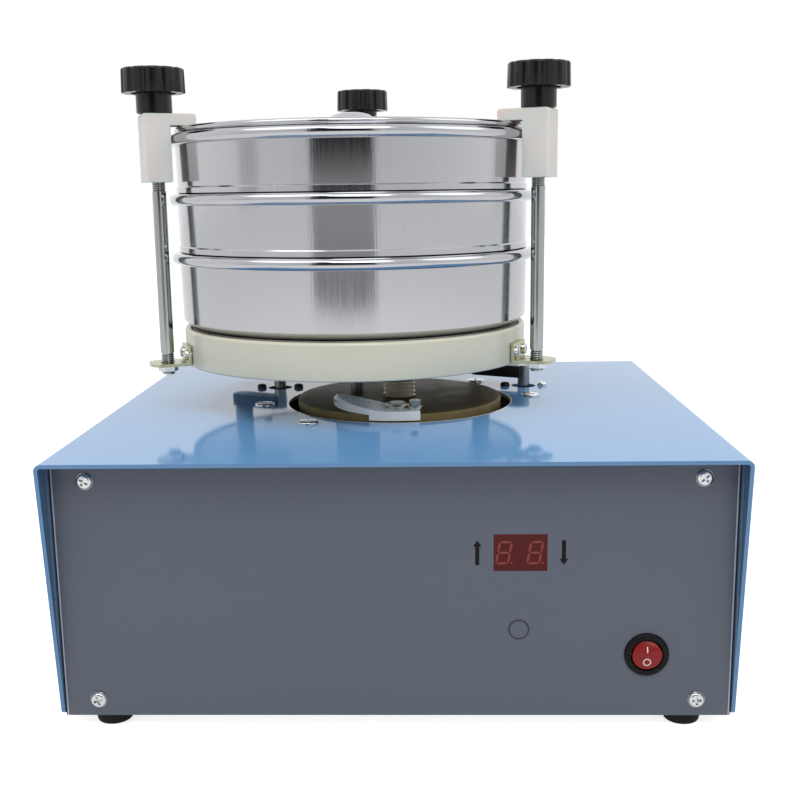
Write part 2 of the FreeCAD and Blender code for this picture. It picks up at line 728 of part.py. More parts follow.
def make_switch():
    """A round rocker switch: a bezel on the panel and a barrel behind it."""
    shell = new_body("switch_shell")
    proud = size.bezel_proud
    revolve(shell, [
        (size.well_radius, 0), (size.well_radius, size.well_depth), (0, size.well_depth),
        (0, size.switch_depth), (size.switch_body, size.switch_depth), (size.switch_body, proud),
        (size.bezel_radius, proud), (size.bezel_radius, proud * 0.6),
        (size.bezel_radius - proud * 0.6, 0, -proud * 0.8),
    ])
    place(shell, switch_across, -panel_front - proud, size.switch_level, -90, (1, 0, 0))
    pivot = size.rocker_pivot_depth - panel_front - proud
    reach = size.well_radius + 1
    bore = cylinder("switch_bore", size.rocker_pin + size.running_fit, (reach + 0.2) * 2,
                    switch_across - reach - 0.2, pivot, size.switch_level, 90, (0, 1, 0))
    keep(cut("switch_housing", shell, [bore]), "switch_housing")
    wedge = new_body("rocker_wedge")
    rise = size.rocker_rise
    half = size.rocker_radius
    front = -size.rocker_pivot_depth
    outline = [
        (front + rise * 0.4, -half), (size.rocker_heel, -half * 0.6), (size.rocker_heel, half * 0.6),
        (front + rise, half), (front - rise, size.rocker_ridge),
    ]
    pad(wedge, draw(wedge, "YZ_Plane", outline), half * 2, both_ways=True)
    place(wedge, switch_across, pivot, size.switch_level)
    barrel = cylinder("rocker_barrel", half, size.switch_depth, switch_across,
                      pivot - size.switch_depth / 2, size.switch_level, -90, (1, 0, 0))
    rocker = doc.addObject("Part::Common", "rocker_round")
    rocker.Base = wedge
    rocker.Tool = barrel
    pins = cylinder("rocker_pins", size.rocker_pin, reach * 2, switch_across - reach, pivot,
                    size.switch_level, 90, (0, 1, 0))
    keep(fuse("power_rocker", [rocker, pins]), "power_rocker")


def make_inlet():
    """A panel inlet for a mains lead, with its three flat pins, and the fuse holder."""
    half_w = size.inlet_width / 2
    half_t = size.inlet_tall / 2
    left = -inlet_across - half_w
    low = size.inlet_level - half_t
    rim = size.inlet_rim
    mouth = panel_front + rim
    flange = box("inlet_flange", left - rim, panel_front, low - rim, size.inlet_width + rim * 2, rim,
                 size.inlet_tall + rim * 2)
    shell = box("inlet_shell", left, mouth - size.inlet_depth, low, size.inlet_width, size.inlet_depth,
                size.inlet_tall)
    wall = size.inlet_wall
    well = box("inlet_well", left + wall, mouth - size.inlet_well, low + wall,
               size.inlet_width - wall * 2, size.inlet_well * 1.1, size.inlet_tall - wall * 2)
    hollow = cut("inlet_hollow", fuse("inlet_solid", [flange, shell]), [well])
    pins = []
    for index, (u, v) in enumerate(((-7, -2), (0, 2.5), (7, -2))):
        pins.append(box("inlet_pin_" + str(index), u - inlet_across - 1, mouth - size.inlet_well - 1,
                        v + size.inlet_level - 2, 2, size.inlet_pin + 1, 4))
    keep(fuse("power_inlet", [hollow] + pins), "power_inlet")
    holder = new_body("fuse_holder")
    edge = size.fuse_radius
    revolve(holder, [
        (0, -size.fuse_depth), (edge * 0.7, -size.fuse_depth), (edge * 0.7, -size.fuse_depth * 0.4),
        (edge, -size.fuse_depth * 0.4), (edge, 0), (edge * 1.3, 0), (edge * 1.3, 2),
        (edge * 0.95, 2), (edge * 0.85, 6), (0, 6),
    ])
    place(holder, -fuse_across, panel_front, size.inlet_level, -90, (1, 0, 0))
    keep(holder, "fuse_holder")


# Drive
def make_bridge():
    """The plate under the cover that the gear motor hangs from, on four spacers."""
    body = new_body("motor_bridge")
    margin = size.bridge_margin
    outline = round_rectangle(size.bridge_reach + margin, size.bridge_half + margin, margin)
    holes = [(0, 0, size.spindle_radius + 4)]
    holes += [(size.bridge_reach * u, size.bridge_half * v, size.bridge_screw + size.screw_fit)
              for u in (-1, 1) for v in (-1, 1)]
    pad(body, draw(body, "XY_Plane", outline, holes), size.bridge_sheet)
    place(body, 0, size.drive_back, bridge_top - size.bridge_sheet, size.bridge_turn)
    keep(body, "motor_bridge")
    spacers = []
    screws = []
    for index, (x, y) in enumerate(bridge_corners()):
        bar = cylinder("bridge_bar_" + str(index), size.bridge_spacer_radius, size.bridge_spacer, x, y, bridge_top)
        bore = cylinder("bridge_bore_" + str(index), size.bridge_screw + size.screw_fit,
                        size.bridge_spacer, x, y, bridge_top)
        spacers.append(cut("bridge_spacer_" + str(index), bar, [bore]))
        screw = new_body("bridge_screw_" + str(index))
        reach = size.bridge_spacer + size.cover_sheet + size.bridge_sheet
        head = size.bridge_head
        tall = size.bridge_head_height
        revolve(screw, [
            (0, -reach), (size.bridge_screw, -reach), (size.bridge_screw, 0), (head, 0),
            (head, tall * 0.3), (head - tall * 0.7, tall), (0, tall),
        ])
        screws.append(place(screw, x, y, size.cover_top))
    group("bridge_spacers", spacers)
    group("bridge_screws", screws)


def make_motor():
    """A gearbox under the bridge, with a hollow output bore, and its motor."""
    gearbox = new_body("gearbox")
    half = size.gearbox_side / 2
    bore = [(0, 0, size.spindle_radius + size.running_fit)]
    pad(gearbox, draw(gearbox, "XY_Plane", round_rectangle(half, half, size.gearbox_round), bore),
        size.gearbox_height)
    under = bridge_top - size.bridge_sheet - size.gearbox_height
    place(gearbox, 0, size.drive_back, under, size.bridge_turn)
    keep(gearbox, "gearbox")
    motor = new_body("motor_case")
    half = size.motor_side / 2
    pad(motor, draw(motor, "XY_Plane", round_rectangle(half, half, size.motor_round)), size.motor_height)
    place(motor, 0, size.drive_back, under - size.motor_height, size.bridge_turn)
    low = under - size.motor_height
    ribs = []
    for index in range(4):
        ribs.append(box("motor_rib_" + str(index), -size.motor_side, size.drive_back - size.motor_side,
                        low + size.rib_low + size.rib_pitch * index, size.motor_side * 2,
                        size.motor_side * 2, size.rib_height))
    core = cylinder("motor_core", size.motor_side / 2 - size.rib_depth, size.motor_height, 0,
                    size.drive_back, low)
    grooves = cut("motor_grooves", fuse("motor_ribs", ribs), [core])
    motor.Label = "motor_case"
    keep(cut("drive_motor", motor, [grooves]), "drive_motor")
    left = -transformer_across
    front = size.transformer_back
    core = box("transformer_core", left - size.transformer_width / 2, front - size.transformer_depth / 2,
               base_top, size.transformer_width, size.transformer_depth, size.transformer_height)
    coil = box("transformer_coil", left - size.coil_width / 2, front - size.coil_depth / 2,
               base_top + size.coil_rise, size.coil_width, size.coil_depth, size.coil_height)
    keep(fuse("transformer", [core, coil]), "transformer")
    can = new_body("motor_capacitor")
    edge = size.capacitor_radius
    tall = size.capacitor_height
    revolve(can, [(0, 0), (edge, 0), (edge, tall - 2), (edge - 2, tall, 2), (edge - 5, tall),
                  (edge - 5, tall - 2), (5, tall - 2), (5, tall + 5), (0, tall + 5)])
    place(can, capacitor_across, size.capacitor_back, base_top)
    keep(can, "motor_capacitor")


def make_turntable():
    """The disc in the hole of the cover, its hub, its spindle and the driving pin."""
    disc = new_body("turntable_disc")
    bore = size.spindle_radius + 0.02
    revolve(disc, [
        (bore, -size.hub_height), (size.hub_radius, -size.hub_height), (size.hub_radius, 0),
        (size.disc_radius - size.disc_edge, 0), (size.disc_radius, size.disc_edge),
        (size.disc_radius, size.disc_sheet - size.disc_edge),
        (size.disc_radius - size.disc_edge, size.disc_sheet), (bore, size.disc_sheet),
    ])
    pin_u = size.crank_radius * cosine(size.crank_turn)
    pin_v = size.crank_radius * sine(size.crank_turn)
    holes = [(pin_u, pin_v, size.pin_radius + 0.02)]
    holes += [(u, v, size.bolt_radius + 0.02) for u, v in weight_bolts()]
    pocket(disc, draw(disc, "XY_Plane", circles=holes), backwards=True)
    place(disc, 0, size.drive_back, disc_bottom)
    keep(disc, "turntable_disc")
    spindle = new_body("drive_spindle")
    top = size.disc_sheet + size.spindle_above
    edge = size.spindle_radius
    revolve(spindle, [(0, -size.spindle_below), (edge - 1, -size.spindle_below), (edge, 1 - size.spindle_below),
                      (edge, top - 1.2), (edge - 1.2, top), (0, top)])
    place(spindle, 0, size.drive_back, disc_bottom)
    keep(spindle, "drive_spindle")
    pin = new_body("driving_pin")
    length = size.disc_sheet + size.pin_above
    edge = size.pin_radius
    revolve(pin, [(0, 0), (edge, 0), (edge, length - 1), (edge - 1, length), (0, length)])
    place(pin, table_x, table_y, disc_bottom)
    keep(pin, "driving_pin")
    height = bridge_top
    ring = cylinder("bearing_ring", size.bearing_radius, disc_bottom - size.hub_height - 0.3 - height,
                    0, size.drive_back, height)
    hole = cylinder("bearing_hole", size.spindle_radius + size.running_fit, size.bridge_spacer,
                    0, size.drive_back, height)
    keep(cut("spindle_bearing", ring, [hole]), "spindle_bearing")


def polar(reach, turn):
    return reach * cosine(turn), reach * sine(turn)


def weight_bolts():
    return [polar(size.weight_bolt_reach, size.weight_bolt_turn),
            polar(size.small_bolt_reach, size.small_bolt_turn)]


def make_counterweight():
    """A crescent casting on the front of the disc. It is tallest at its left end, where
    its edge slopes, and its right part laps over the disc's rim."""
    body = new_body("counterweight")
    left = polar(size.weight_left, size.weight_left_turn)
    middle = polar(size.weight_middle, size.weight_middle_turn)
    front = polar(weight_right, size.weight_lip_turn)
    right = polar(weight_right, size.weight_right_turn)
    outline = [
        left, (middle[0], middle[1], size.weight_left_curve),
        (front[0], front[1], size.weight_front_curve), (right[0], right[1], weight_right),
        polar(weight_right - size.weight_right_width, size.weight_right_turn),
        polar(size.weight_left - size.weight_left_width, size.weight_left_turn + size.weight_skew)
        + (-size.weight_inner_curve,),
    ]
    pad(body, draw(body, "XY_Plane", outline), size.weight_height)
    body.recompute(True)
    base = body.Tip
    top = number_of(size.weight_height)
    outer = (number_of(size.weight_left_curve), number_of(size.weight_front_curve), number_of(weight_right))
    names = []
    for number, rim in enumerate(base.Shape.Edges, start=1):
        if not isinstance(rim.Curve, Part.Circle) or abs(rim.CenterOfMass.z - top) > 0.01:
            continue
        if min(abs(rim.Curve.Radius - radius) for radius in outer) < 0.01:
            names.append("Edge" + str(number))
    slope = body.newObject("PartDesign::Chamfer", "counterweight_slope")
    slope.Base = (base, names)
    bind(slope, "Size", size.weight_edge)
    above = size.weight_height + 1
    lowered = [
        (-size.weight_slope_start, size.weight_height), (-size.weight_slope_end, size.weight_flat),
        (weight_right + 1, size.weight_flat), (weight_right + 1, above), (-size.weight_slope_start, above),
    ]
    pocket(body, draw(body, "XZ_Plane", lowered), both_ways=True)
    inside = size.disc_radius + size.screw_fit
    lip = [
        polar(weight_right, size.weight_lip_turn), right + (weight_right,),
        polar(inside, size.weight_right_turn), polar(inside, size.weight_lip_turn) + (-inside,),
    ]
    pad(body, draw(body, "XY_Plane", lip), size.weight_lip_drop, backwards=True)
    holes = [(u, v, size.bolt_radius + 0.02) for u, v in weight_bolts()]
    pocket(body, draw(body, "XY_Plane", circles=holes), backwards=True)
    pin_hole = [(-size.weight_pin_across, size.weight_pin_level, size.weight_pin_hole)]
    pocket(body, draw(body, "XZ_Plane", circles=pin_hole), both_ways=True)
    place(body, 0, size.drive_back, disc_top)
    keep(body, "counterweight")
    bolts = []
    level = disc_top + size.weight_flat
    depth = size.disc_sheet - size.bolt_short
    for index, (u, v) in enumerate(weight_bolts()):
        y = v + size.drive_back
        wide = (size.washer_radius, size.small_washer)[index]
        washer = cylinder("weight_washer_" + str(index), wide, size.washer_sheet, u, y, level)
        bore = cylinder("weight_bore_" + str(index), size.bolt_radius + 0.02, size.washer_sheet, u, y, level)
        bolts.append(cut("weight_ring_" + str(index), washer, [bore]))
        shank = cylinder("weight_shank_" + str(index), size.bolt_radius,
                         size.weight_flat + depth + size.washer_sheet, u, y, disc_top - depth)
        head = doc.addObject("Part::Prism", "weight_head_" + str(index))
        head.Polygon = 6
        bind(head, "Circumradius", (size.bolt_head, size.small_head)[index])
        bind(head, "Height", (size.low_head_height, size.bolt_head_height)[index])
        place(head, u, y, level + size.washer_sheet)
        bolts.append(fuse("weight_bolt_" + str(index), [shank, head]))
    group("counterweight_bolts", bolts)


def half_lap(reach, radius, shaft):
    """An arm with a round far end. Its near end is cut square and laps half of a shaft."""
    return [
        (0, -radius), (reach, -radius), (reach + radius, 0, radius), (reach, radius, radius),
        (0, radius), (0, shaft), (shaft, 0, -shaft), (0, -shaft, -shaft),
    ]


def make_cranks():
    """Two idle cranks that keep the tray from turning. They point the same way as
    the driving pin, and each turns in a housing under the cover."""
    for name, side in crank_sides:
        x = crank_spread * side
        arm = new_body(name + "_crank_arm")
        snug = size.pin_radius + 0.02
        outline = half_lap(size.crank_radius, size.arm_round, snug)
        pad(arm, draw(arm, "XY_Plane", outline, [(size.crank_radius, 0, snug)]), size.arm_thick)
        round_edges(arm, 1, lambda rim: isinstance(rim.Curve, Part.Line)
                    and rim.Length > number_of(size.arm_round) and not runs_along(rim, (0, 0, 1)))
        place(arm, x, size.crank_back, arm_bottom, size.crank_turn)
        keep(arm, name + "_crank_arm")
        low = cover_under - size.housing_flange - size.housing_boss_height
        shaft = cylinder(name + "_crank_shaft", size.pin_radius, arm_top - low, x, size.crank_back, low)
        pin = new_body(name + "_crank_pin")
        length = table_under - arm_bottom - 0.5
        edge = size.pin_radius
        revolve(pin, [(0, 0), (edge, 0), (edge, length - 1), (edge - 1, length), (0, length)])
        place(pin, x + table_x, size.crank_back + table_y - size.drive_back, arm_bottom)
        group(name + "_crank_pins", [shaft, pin])
        flange = new_body(name + "_bearing_flange")
        reach = size.housing_screw_spread * 2
        holes = [(0, 0, size.screw_radius + size.screw_fit), (reach, 0, size.screw_radius + size.screw_fit),
                 (size.housing_screw_spread, 0, size.pin_radius + size.running_fit)]
        pad(flange, draw(flange, "XY_Plane", slot(reach, size.housing_half), holes), size.housing_flange)
        place(flange, x - size.housing_screw_spread, size.crank_back, cover_under - size.housing_flange)
        boss = cylinder(name + "_bearing_boss", size.housing_boss, size.housing_boss_height, x,
                        size.crank_back, low)
        bore = cylinder(name + "_bearing_bore", size.pin_radius + size.running_fit,
                        size.housing_boss_height, x, size.crank_back, low)
        hollow = cut(name + "_bearing_sleeve", boss, [bore])
        keep(fuse(name + "_crank_bearing", [flange, hollow]), name + "_crank_bearing")
    screws = []
    for x, y in housing_screws():
        screw = screw_body("bearing_screw_" + str(len(screws)), size.dome_radius, size.dome_height,
                           size.screw_radius, size.screw_length)
        screws.append(place(screw, x, y, size.cover_top))
    group("bearing_screws", screws)


# Table
def make_table():
    """The plate under the tray ring, with the plain bearings of its three pins."""
    plate = new_body("table_plate")
    rim = ring_radius - size.ring_wall - 0.4
    holes = [(table_screw_ring * cosine(turn), table_screw_ring * sine(turn),
              size.leg_screw + size.screw_fit) for turn in (45, 135, 225, 315)]
    pad(plate, draw(plate, "XY_Plane", circles=[(0, 0, rim)] + holes), size.table_sheet)
    place(plate, table_x, table_y, table_under)
    keep(plate, "table_plate")
    places = [("centre_bearing", 0, 0, size.centre_boss, size.centre_boss_height, size.running_fit)]
    for name, side in crank_sides:
        places.append((name + "_boss", crank_spread * side, size.crank_back - size.drive_back,
                       size.boss_radius, size.boss_height, size.pivot_clear))
    bosses = []
    for name, u, v, radius, height, clear in places:
        boss = new_body(name)
        revolve(boss, [
            (size.pin_radius + clear, 0), (radius - 1, 0), (radius, 1), (radius, height),
            (size.pin_radius + clear, height),
        ])
        bosses.append(place(boss, table_x + u, table_y + v, table_under - height))
    keep(bosses[0], "centre_bearing")
    group("table_bosses", bosses[1:])
    screws = []
    for turn in (45, 135, 225, 315):
        screw = screw_body("table_screw_" + str(len(screws)), size.leg_screw_head,
                           size.leg_screw_head_height, size.leg_screw, size.table_sheet + 3)
        x = table_x + table_screw_ring * cosine(turn)
        y = table_y + table_screw_ring * sine(turn)
        screws.append(place(screw, x, y, table_under, 180, (1, 0, 0)))
    group("table_screws", screws)


def make_ring():
    """The plastic tray ring with a round lip and a ledge that the pan stands on."""
    ring = new_body("tray_ring_turned")
    edge = ring_radius
    inner = ring_radius - size.ring_wall
    top = size.ring_top - size.ring_bottom
    ledge = size.ledge_level - size.ring_bottom
    lip = size.ring_lip
    revolve(ring, [
        (inner, 0), (edge - 1, 0), (edge, 1, 1), (edge, top - lip), (edge - lip, top, lip),
        (inner + lip, top), (inner, top - lip, lip), (inner, ledge + size.ledge_thick),
        (inner - size.ledge_width, ledge + size.ledge_thick), (inner - size.ledge_width, ledge), (inner, ledge),
    ])
    place(ring, table_x, table_y, size.ring_bottom)
    drills = []
    for turn in (45, 135, 225, 315):
        x = table_x + table_screw_ring * cosine(turn)
        y = table_y + table_screw_ring * sine(turn)
        drills.append(cylinder("ledge_drill_" + str(turn), size.leg_screw + size.screw_fit, 3.2, x, y,
                               size.ledge_level))
    for name, turn in clamps:
        for side in (-1, 1):
            drill = new_body(name + "_ring_drill_" + str(side + 1))
            circle = [(size.leg_screw_spread * side, 0, size.leg_screw + size.screw_fit)]
            pad(drill, draw(drill, "YZ_Plane", circles=circle), edge + 2)
            drills.append(place(drill, table_x, table_y, size.leg_screw_level, turn))
    keep(cut("tray_ring", ring, drills), "tray_ring")
    ring.Label = "tray_ring_blank"


# Sieves
def bead(edge, low, tall, out):
    """The outer profile of a rolled bead, from its lower to its upper end."""
    return [(edge, low), (edge + out, low + tall * 0.25, out * 1.1),
            (edge + out, low + tall * 0.75, tall), (edge, low + tall, out * 1.1)]


def make_pan():
    """The closed pan. Its foot stands inside the tray ring."""
    pan = new_body("catch_pan")
    wall = size.wall_sheet
    floor = size.ledge_level + size.ledge_thick
    flare = size.ring_top + 0.3
    outline = [(0, floor), (pan_foot - 2, floor), (pan_foot, floor + 2, 2), (pan_foot, flare)]
    outline += [(wall_radius, flare + size.pan_flare)]
    outline += bead(wall_radius, size.pan_top - size.top_bead, size.top_bead, size.top_bead_out)
    outline += [(wall_radius - wall, size.pan_top), (wall_radius - wall, flare + size.pan_flare + wall),
                (pan_foot - wall, flare + wall), (pan_foot - wall, floor + wall), (0, floor + wall)]
    revolve(pan, outline)
    place(pan, table_x, table_y, 0)
    keep(pan, "catch_pan")


def make_sieve(name, level, hole_shape):
    """A sieve frame with rolled beads and a spigot, and its punched plate."""
    frame = new_body(name + "_frame")
    wall = size.wall_sheet
    inner = wall_radius - wall
    outline = [(size.spigot_radius - wall, -size.spigot_depth), (size.spigot_radius, -size.spigot_depth),
               (size.spigot_radius, 0)]
    outline += bead(wall_radius, 0, size.low_bead, size.low_bead_out)
    outline += bead(wall_radius, size.sieve_height - size.top_bead, size.top_bead, size.top_bead_out)
    outline += [(inner, size.sieve_height), (inner, size.low_bead), (size.spigot_radius - wall, size.low_bead)]
    revolve(frame, outline)
    place(frame, table_x, table_y, level)
    keep(frame, name + "_frame")
    make_screen(name + "_screen", level + size.low_bead, inner - size.screen_fit, hole_shape)


def make_screen(name, level, edge, hole_shape):
    """A round plate punched with staggered rows of round or long holes."""
    plate = cylinder(name + "_plate", edge, size.screen_sheet, table_x, table_y, level)
    punches = []
    count = math.floor(number_of(edge) / number_of(size.hole_pitch))
    low = level - size.screen_sheet / 2
    tall = size.screen_sheet * 2
    for row in range(-count, count + 1):
        for column in range(-count, count + 1):
            u = size.hole_pitch * (column + 0.5 * (row % 2))
            v = size.hole_pitch * row * size.row_share
            if math.hypot(number_of(u), number_of(v)) > number_of(edge - size.hole_margin):
                continue
            punch = name + "_punch_" + str(len(punches))
            if hole_shape == "round":
                punches.append(cylinder(punch, size.round_hole, tall, table_x + u, table_y + v, low))
            else:
                punches.append(box(punch, table_x + u - size.long_hole, table_y + v - size.round_hole / 2,
                                   low, size.long_hole * 2, size.round_hole, tall))
    bundle = doc.addObject("Part::Compound", name + "_punches")
    bundle.Links = punches
    keep(cut(name, plate, [bundle]), name)


def make_lid():
    """The lid: a rim over the top bead, a spigot, a domed web and a raised middle."""
    lid = new_body("sieve_lid")
    wall = size.wall_sheet
    rim = size.lid_rim
    dome = rim + size.lid_rise
    boss = size.lid_boss
    spigot = size.spigot_radius
    outline = [(spigot - wall, -size.spigot_depth), (spigot, -size.spigot_depth), (spigot, 0)]
    outline += bead(wall_radius, 0, rim, size.low_bead_out)
    outline += [(spigot - 2, rim), (spigot - 5, wall), (boss + 2, dome), (boss, dome + size.lid_boss_height),
                (0, dome + size.lid_boss_height), (0, dome + size.lid_boss_height - wall),
                (boss - wall, dome + size.lid_boss_height - wall), (boss - wall / 2, dome - wall),
                (spigot - 5, 0), (spigot - wall, 0)]
    revolve(lid, outline)
    place(lid, table_x, table_y, stack_top)
    keep(lid, "sieve_lid")


# Clamps
def make_brackets():
    """Angle brackets on the ring, the rods that stand in them, nuts and screws."""
    brackets = []
    screws = []
    rods = []
    nuts = []
    face = ring_radius + size.leg_gap
    for name, turn in clamps:
        bracket = new_body(name + "_bracket")
        low = size.leg_level
        outline = [
            (face, low), (face + size.leg_reach, low), (face + size.leg_reach, low + size.leg_sheet),
            (face + size.leg_sheet, low + size.leg_sheet), (face + size.leg_sheet, low + size.leg_tall),
            (face, low + size.leg_tall),
        ]
        pad(bracket, draw(bracket, "XZ_Plane", outline), size.leg_width, both_ways=True)
        hole = [(rod_circle, 0, size.rod_radius + size.rod_clear)]
        pocket(bracket, draw(bracket, "XY_Plane", circles=hole), backwards=True)
        screw_holes = [(size.leg_screw_spread * side, size.leg_screw_level, size.leg_screw + size.screw_fit)
                       for side in (-1, 1)]
        pocket(bracket, draw(bracket, "YZ_Plane", circles=screw_holes), backwards=True)
        outer = number_of(face + size.leg_reach)
        round_edges(bracket, size.leg_width * 0.35, lambda rim: runs_along(rim, (0, 0, 1))
                    and abs(rim.CenterOfMass.x - outer) < 0.01)
        brackets.append(place(bracket, table_x, table_y, 0, turn))
        rod = new_body(name + "_rod")
        edge = size.rod_radius
        low = size.leg_level - size.rod_below
        revolve(rod, [(0, low), (edge - 0.8, low), (edge, low + 0.8), (edge, size.rod_top - 0.8),
                      (edge - 0.8, size.rod_top), (0, size.rod_top)])
        x = table_x + rod_circle * cosine(turn)
        y = table_y + rod_circle * sine(turn)
        rods.append(place(rod, x, y, 0))
        hexagon = doc.addObject("Part::Prism", name + "_nut_blank")
        hexagon.Polygon = 6
        bind(hexagon, "Circumradius", size.nut_flats / 1.732)
        bind(hexagon, "Height", size.nut_height)
        place(hexagon, x, y, size.leg_level - size.nut_height, turn)
        bore = cylinder(name + "_nut_bore", size.rod_radius + 0.02, size.nut_height, x, y,
                        size.leg_level - size.nut_height)
        nuts.append(cut(name + "_nut", hexagon, [bore]))
        for side in (-1, 1):
            screw = new_body(name + "_leg_screw_" + str(side + 1))
            head = size.leg_screw_head
            tall = size.leg_screw_head_height
            seat = face + size.leg_sheet
            shank = size.leg_screw
            depth = size.ring_wall
            revolve(screw, [(0, -depth), (shank, -depth), (shank, 0), (head, 0), (head, tall * 0.4),
                            (head - tall * 0.6, tall, tall * 0.75), (0, tall)])
            holder = place_on_side(screw, seat, size.leg_screw_spread * side, size.leg_screw_level, turn)
            screws.append(holder)
    group("rod_brackets", brackets)
    group("clamp_rods", rods)
    group("rod_nuts", nuts)
    group("bracket_screws", screws)


def place_on_side(thing, reach, sideways, level, turn):
    """Lays a piece that stands on its own Z axis along a radius of the stack."""
    x = table_x + reach * cosine(turn) - sideways * sine(turn)
    y = table_y + reach * sine(turn) + sideways * cosine(turn)
    tilt = 90
    place(thing, x, y, level, tilt, (-math.sin(math.radians(number_of(turn))),
                                     math.cos(math.radians(number_of(turn))), 0))
    return thing


def make_clamps():
    """Each clamp: a hooked block that bears on the lid's rim, and its lobed knob."""
    hook_under = lid_top + size.lid_clear
    hook_top = hook_under + size.hook_height
    for name, turn in clamps:
        block = new_body(name + "_clamp_block")
        outline = [
            (block_inner, size.block_bottom), (block_outer, size.block_bottom),
            (block_outer, hook_top), (hook_inner, hook_top), (hook_inner, hook_under),
            (block_inner, hook_under),
        ]
        pad(block, draw(block, "XZ_Plane", outline), size.block_width, both_ways=True)
        hole = [(rod_circle, 0, size.rod_radius + size.rod_clear)]
        pocket(block, draw(block, "XY_Plane", circles=hole), backwards=True)
        outer = number_of(block_outer)
        high = number_of(hook_top)
        round_edges(block, size.block_round, lambda rim: (
            runs_along(rim, (0, 0, 1)) and abs(rim.CenterOfMass.x - outer) < 0.01)
            or (runs_along(rim, (0, 1, 0)) and abs(rim.CenterOfMass.z - high) < 0.01))
        place(block, table_x, table_y, 0, turn)
        keep(block, name + "_clamp_block")
        knob = make_knob(name + "_knob")
        x = table_x + rod_circle * cosine(turn)
        y = table_y + rod_circle * sine(turn)
        place(knob, x, y, hook_top + size.knob_clear)
        keep(knob, name + "_knob")


def make_knob(name):
    """A moulded knob: a hub, a hollow skirt, a round top edge and scalloped lobes."""
    knob = new_body(name)
    bore = size.rod_radius + size.running_fit
    hub = size.knob_hub
    low = size.knob_hub_height
    edge = size.knob_radius
    top = low + size.knob_height
    curve = size.knob_round
    inner = edge - size.knob_wall - size.lobe_cut / 2
    revolve(knob, [
        (bore, 0), (hub, 0), (hub, top - size.knob_top), (inner, top - size.knob_top), (inner, low),
        (edge - 1, low), (edge, low + 1, 1), (edge, top - curve), (edge - curve, top, curve),
        (0, top), (0, top - size.knob_top), (bore, top - size.knob_top),
    ])
    scallop = [(edge + size.lobe_cut * 0.45, 0, size.lobe_cut)]
    cutter = pocket(knob, draw(knob, "XY_Plane", circles=scallop), backwards=True)
    pattern = knob.newObject("PartDesign::PolarPattern", name + "_lobes")
    pattern.Originals = [cutter]
    pattern.Axis = (cutter.Profile[0], ["N_Axis"])
    pattern.Angle = 360
    pattern.setExpression("Occurrences", size.lobe_count.text)
    knob.Tip = pattern
    return knob


def check_and_write():
    """Stops at any failed object, then writes one file for each node."""
    doc.recompute()
    for thing in doc.Objects:
        if "Invalid" in thing.State or "Error" in thing.State:
            raise ValueError("failed object " + thing.Label + " " + str(thing.State))
    for name, thing in nodes.items():
        shape = thing.Shape
        if shape.isNull() or not shape.isValid() or not shape.Solids:
            raise ValueError("bad shape in " + name)
    for name, thing in nodes.items():
        thing.Shape.exportStep(os.path.join("parts", name + ".step"))
        print(name, len(thing.Shape.Solids), "solids,", round(thing.Shape.Volume), "cubic mm")
    print(len(nodes), "nodes")


make_cover()
make_base()
make_feet()
make_posts()
make_box_screws()
make_front_panel()
make_rear_panel()
make_display()
make_keys()
make_board()
make_switch()
make_inlet()
make_bridge()
make_motor()
make_turntable()
make_counterweight()
make_cranks()
make_table()
make_ring()
make_pan()
make_sieve("lower_sieve", sieve_one, "long")
make_sieve("upper_sieve", sieve_two, "round")
make_lid()
make_brackets()
make_clamps()
check_and_write()
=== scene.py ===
# %% [markdown]
# # A grain sifter, dressed for a photograph
# The machine is a flat blue box with a motor inside. A disc in its top and two small
# cranks carry an ivory tray in a level circle, and three threaded rods with black knobs
# clamp a stack of bright sieves on that tray. The solids of all these pieces already
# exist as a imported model. This notebook loads it, gives each piece its finish, makes
# finer versions of the turned pieces, and sets up the light and the camera.

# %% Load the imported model
import json
import math
import bmesh
import bpy
from mathutils import Matrix, Vector
from mathutils.bvhtree import BVHTree


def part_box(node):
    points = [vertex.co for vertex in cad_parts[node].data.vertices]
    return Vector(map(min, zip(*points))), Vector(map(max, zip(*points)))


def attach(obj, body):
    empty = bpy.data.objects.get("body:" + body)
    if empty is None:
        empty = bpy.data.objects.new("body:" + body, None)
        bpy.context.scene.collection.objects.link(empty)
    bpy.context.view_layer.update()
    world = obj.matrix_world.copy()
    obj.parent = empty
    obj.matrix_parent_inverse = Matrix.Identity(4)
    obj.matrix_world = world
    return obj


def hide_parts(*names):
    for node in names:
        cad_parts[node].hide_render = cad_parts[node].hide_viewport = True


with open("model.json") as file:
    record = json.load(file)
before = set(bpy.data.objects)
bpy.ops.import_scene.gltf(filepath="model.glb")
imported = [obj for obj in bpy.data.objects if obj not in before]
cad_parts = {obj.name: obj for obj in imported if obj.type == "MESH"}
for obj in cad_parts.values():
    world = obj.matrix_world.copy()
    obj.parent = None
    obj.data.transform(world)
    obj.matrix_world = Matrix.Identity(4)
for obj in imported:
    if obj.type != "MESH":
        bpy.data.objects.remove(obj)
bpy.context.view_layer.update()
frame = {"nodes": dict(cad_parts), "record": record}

MM = 0.001

# %% [markdown]
# ## A few measures
# The tray and everything on it share one upright axis, and the disc has another. Both
# are read from the boxes of the solids, so the fine pieces land exactly on them.

# %% Read the two upright axes
def middle_of(node):
    low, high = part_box(node)
    return (low + high) / 2


def radius_of(node):
    low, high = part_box(node)
    return (high.x - low.x) / 2


stack = middle_of("tray_ring")
drive = middle_of("turntable_disc")
print("stack axis", [round(v, 4) for v in stack.xy], "drive axis", [round(v, 4) for v in drive.xy])
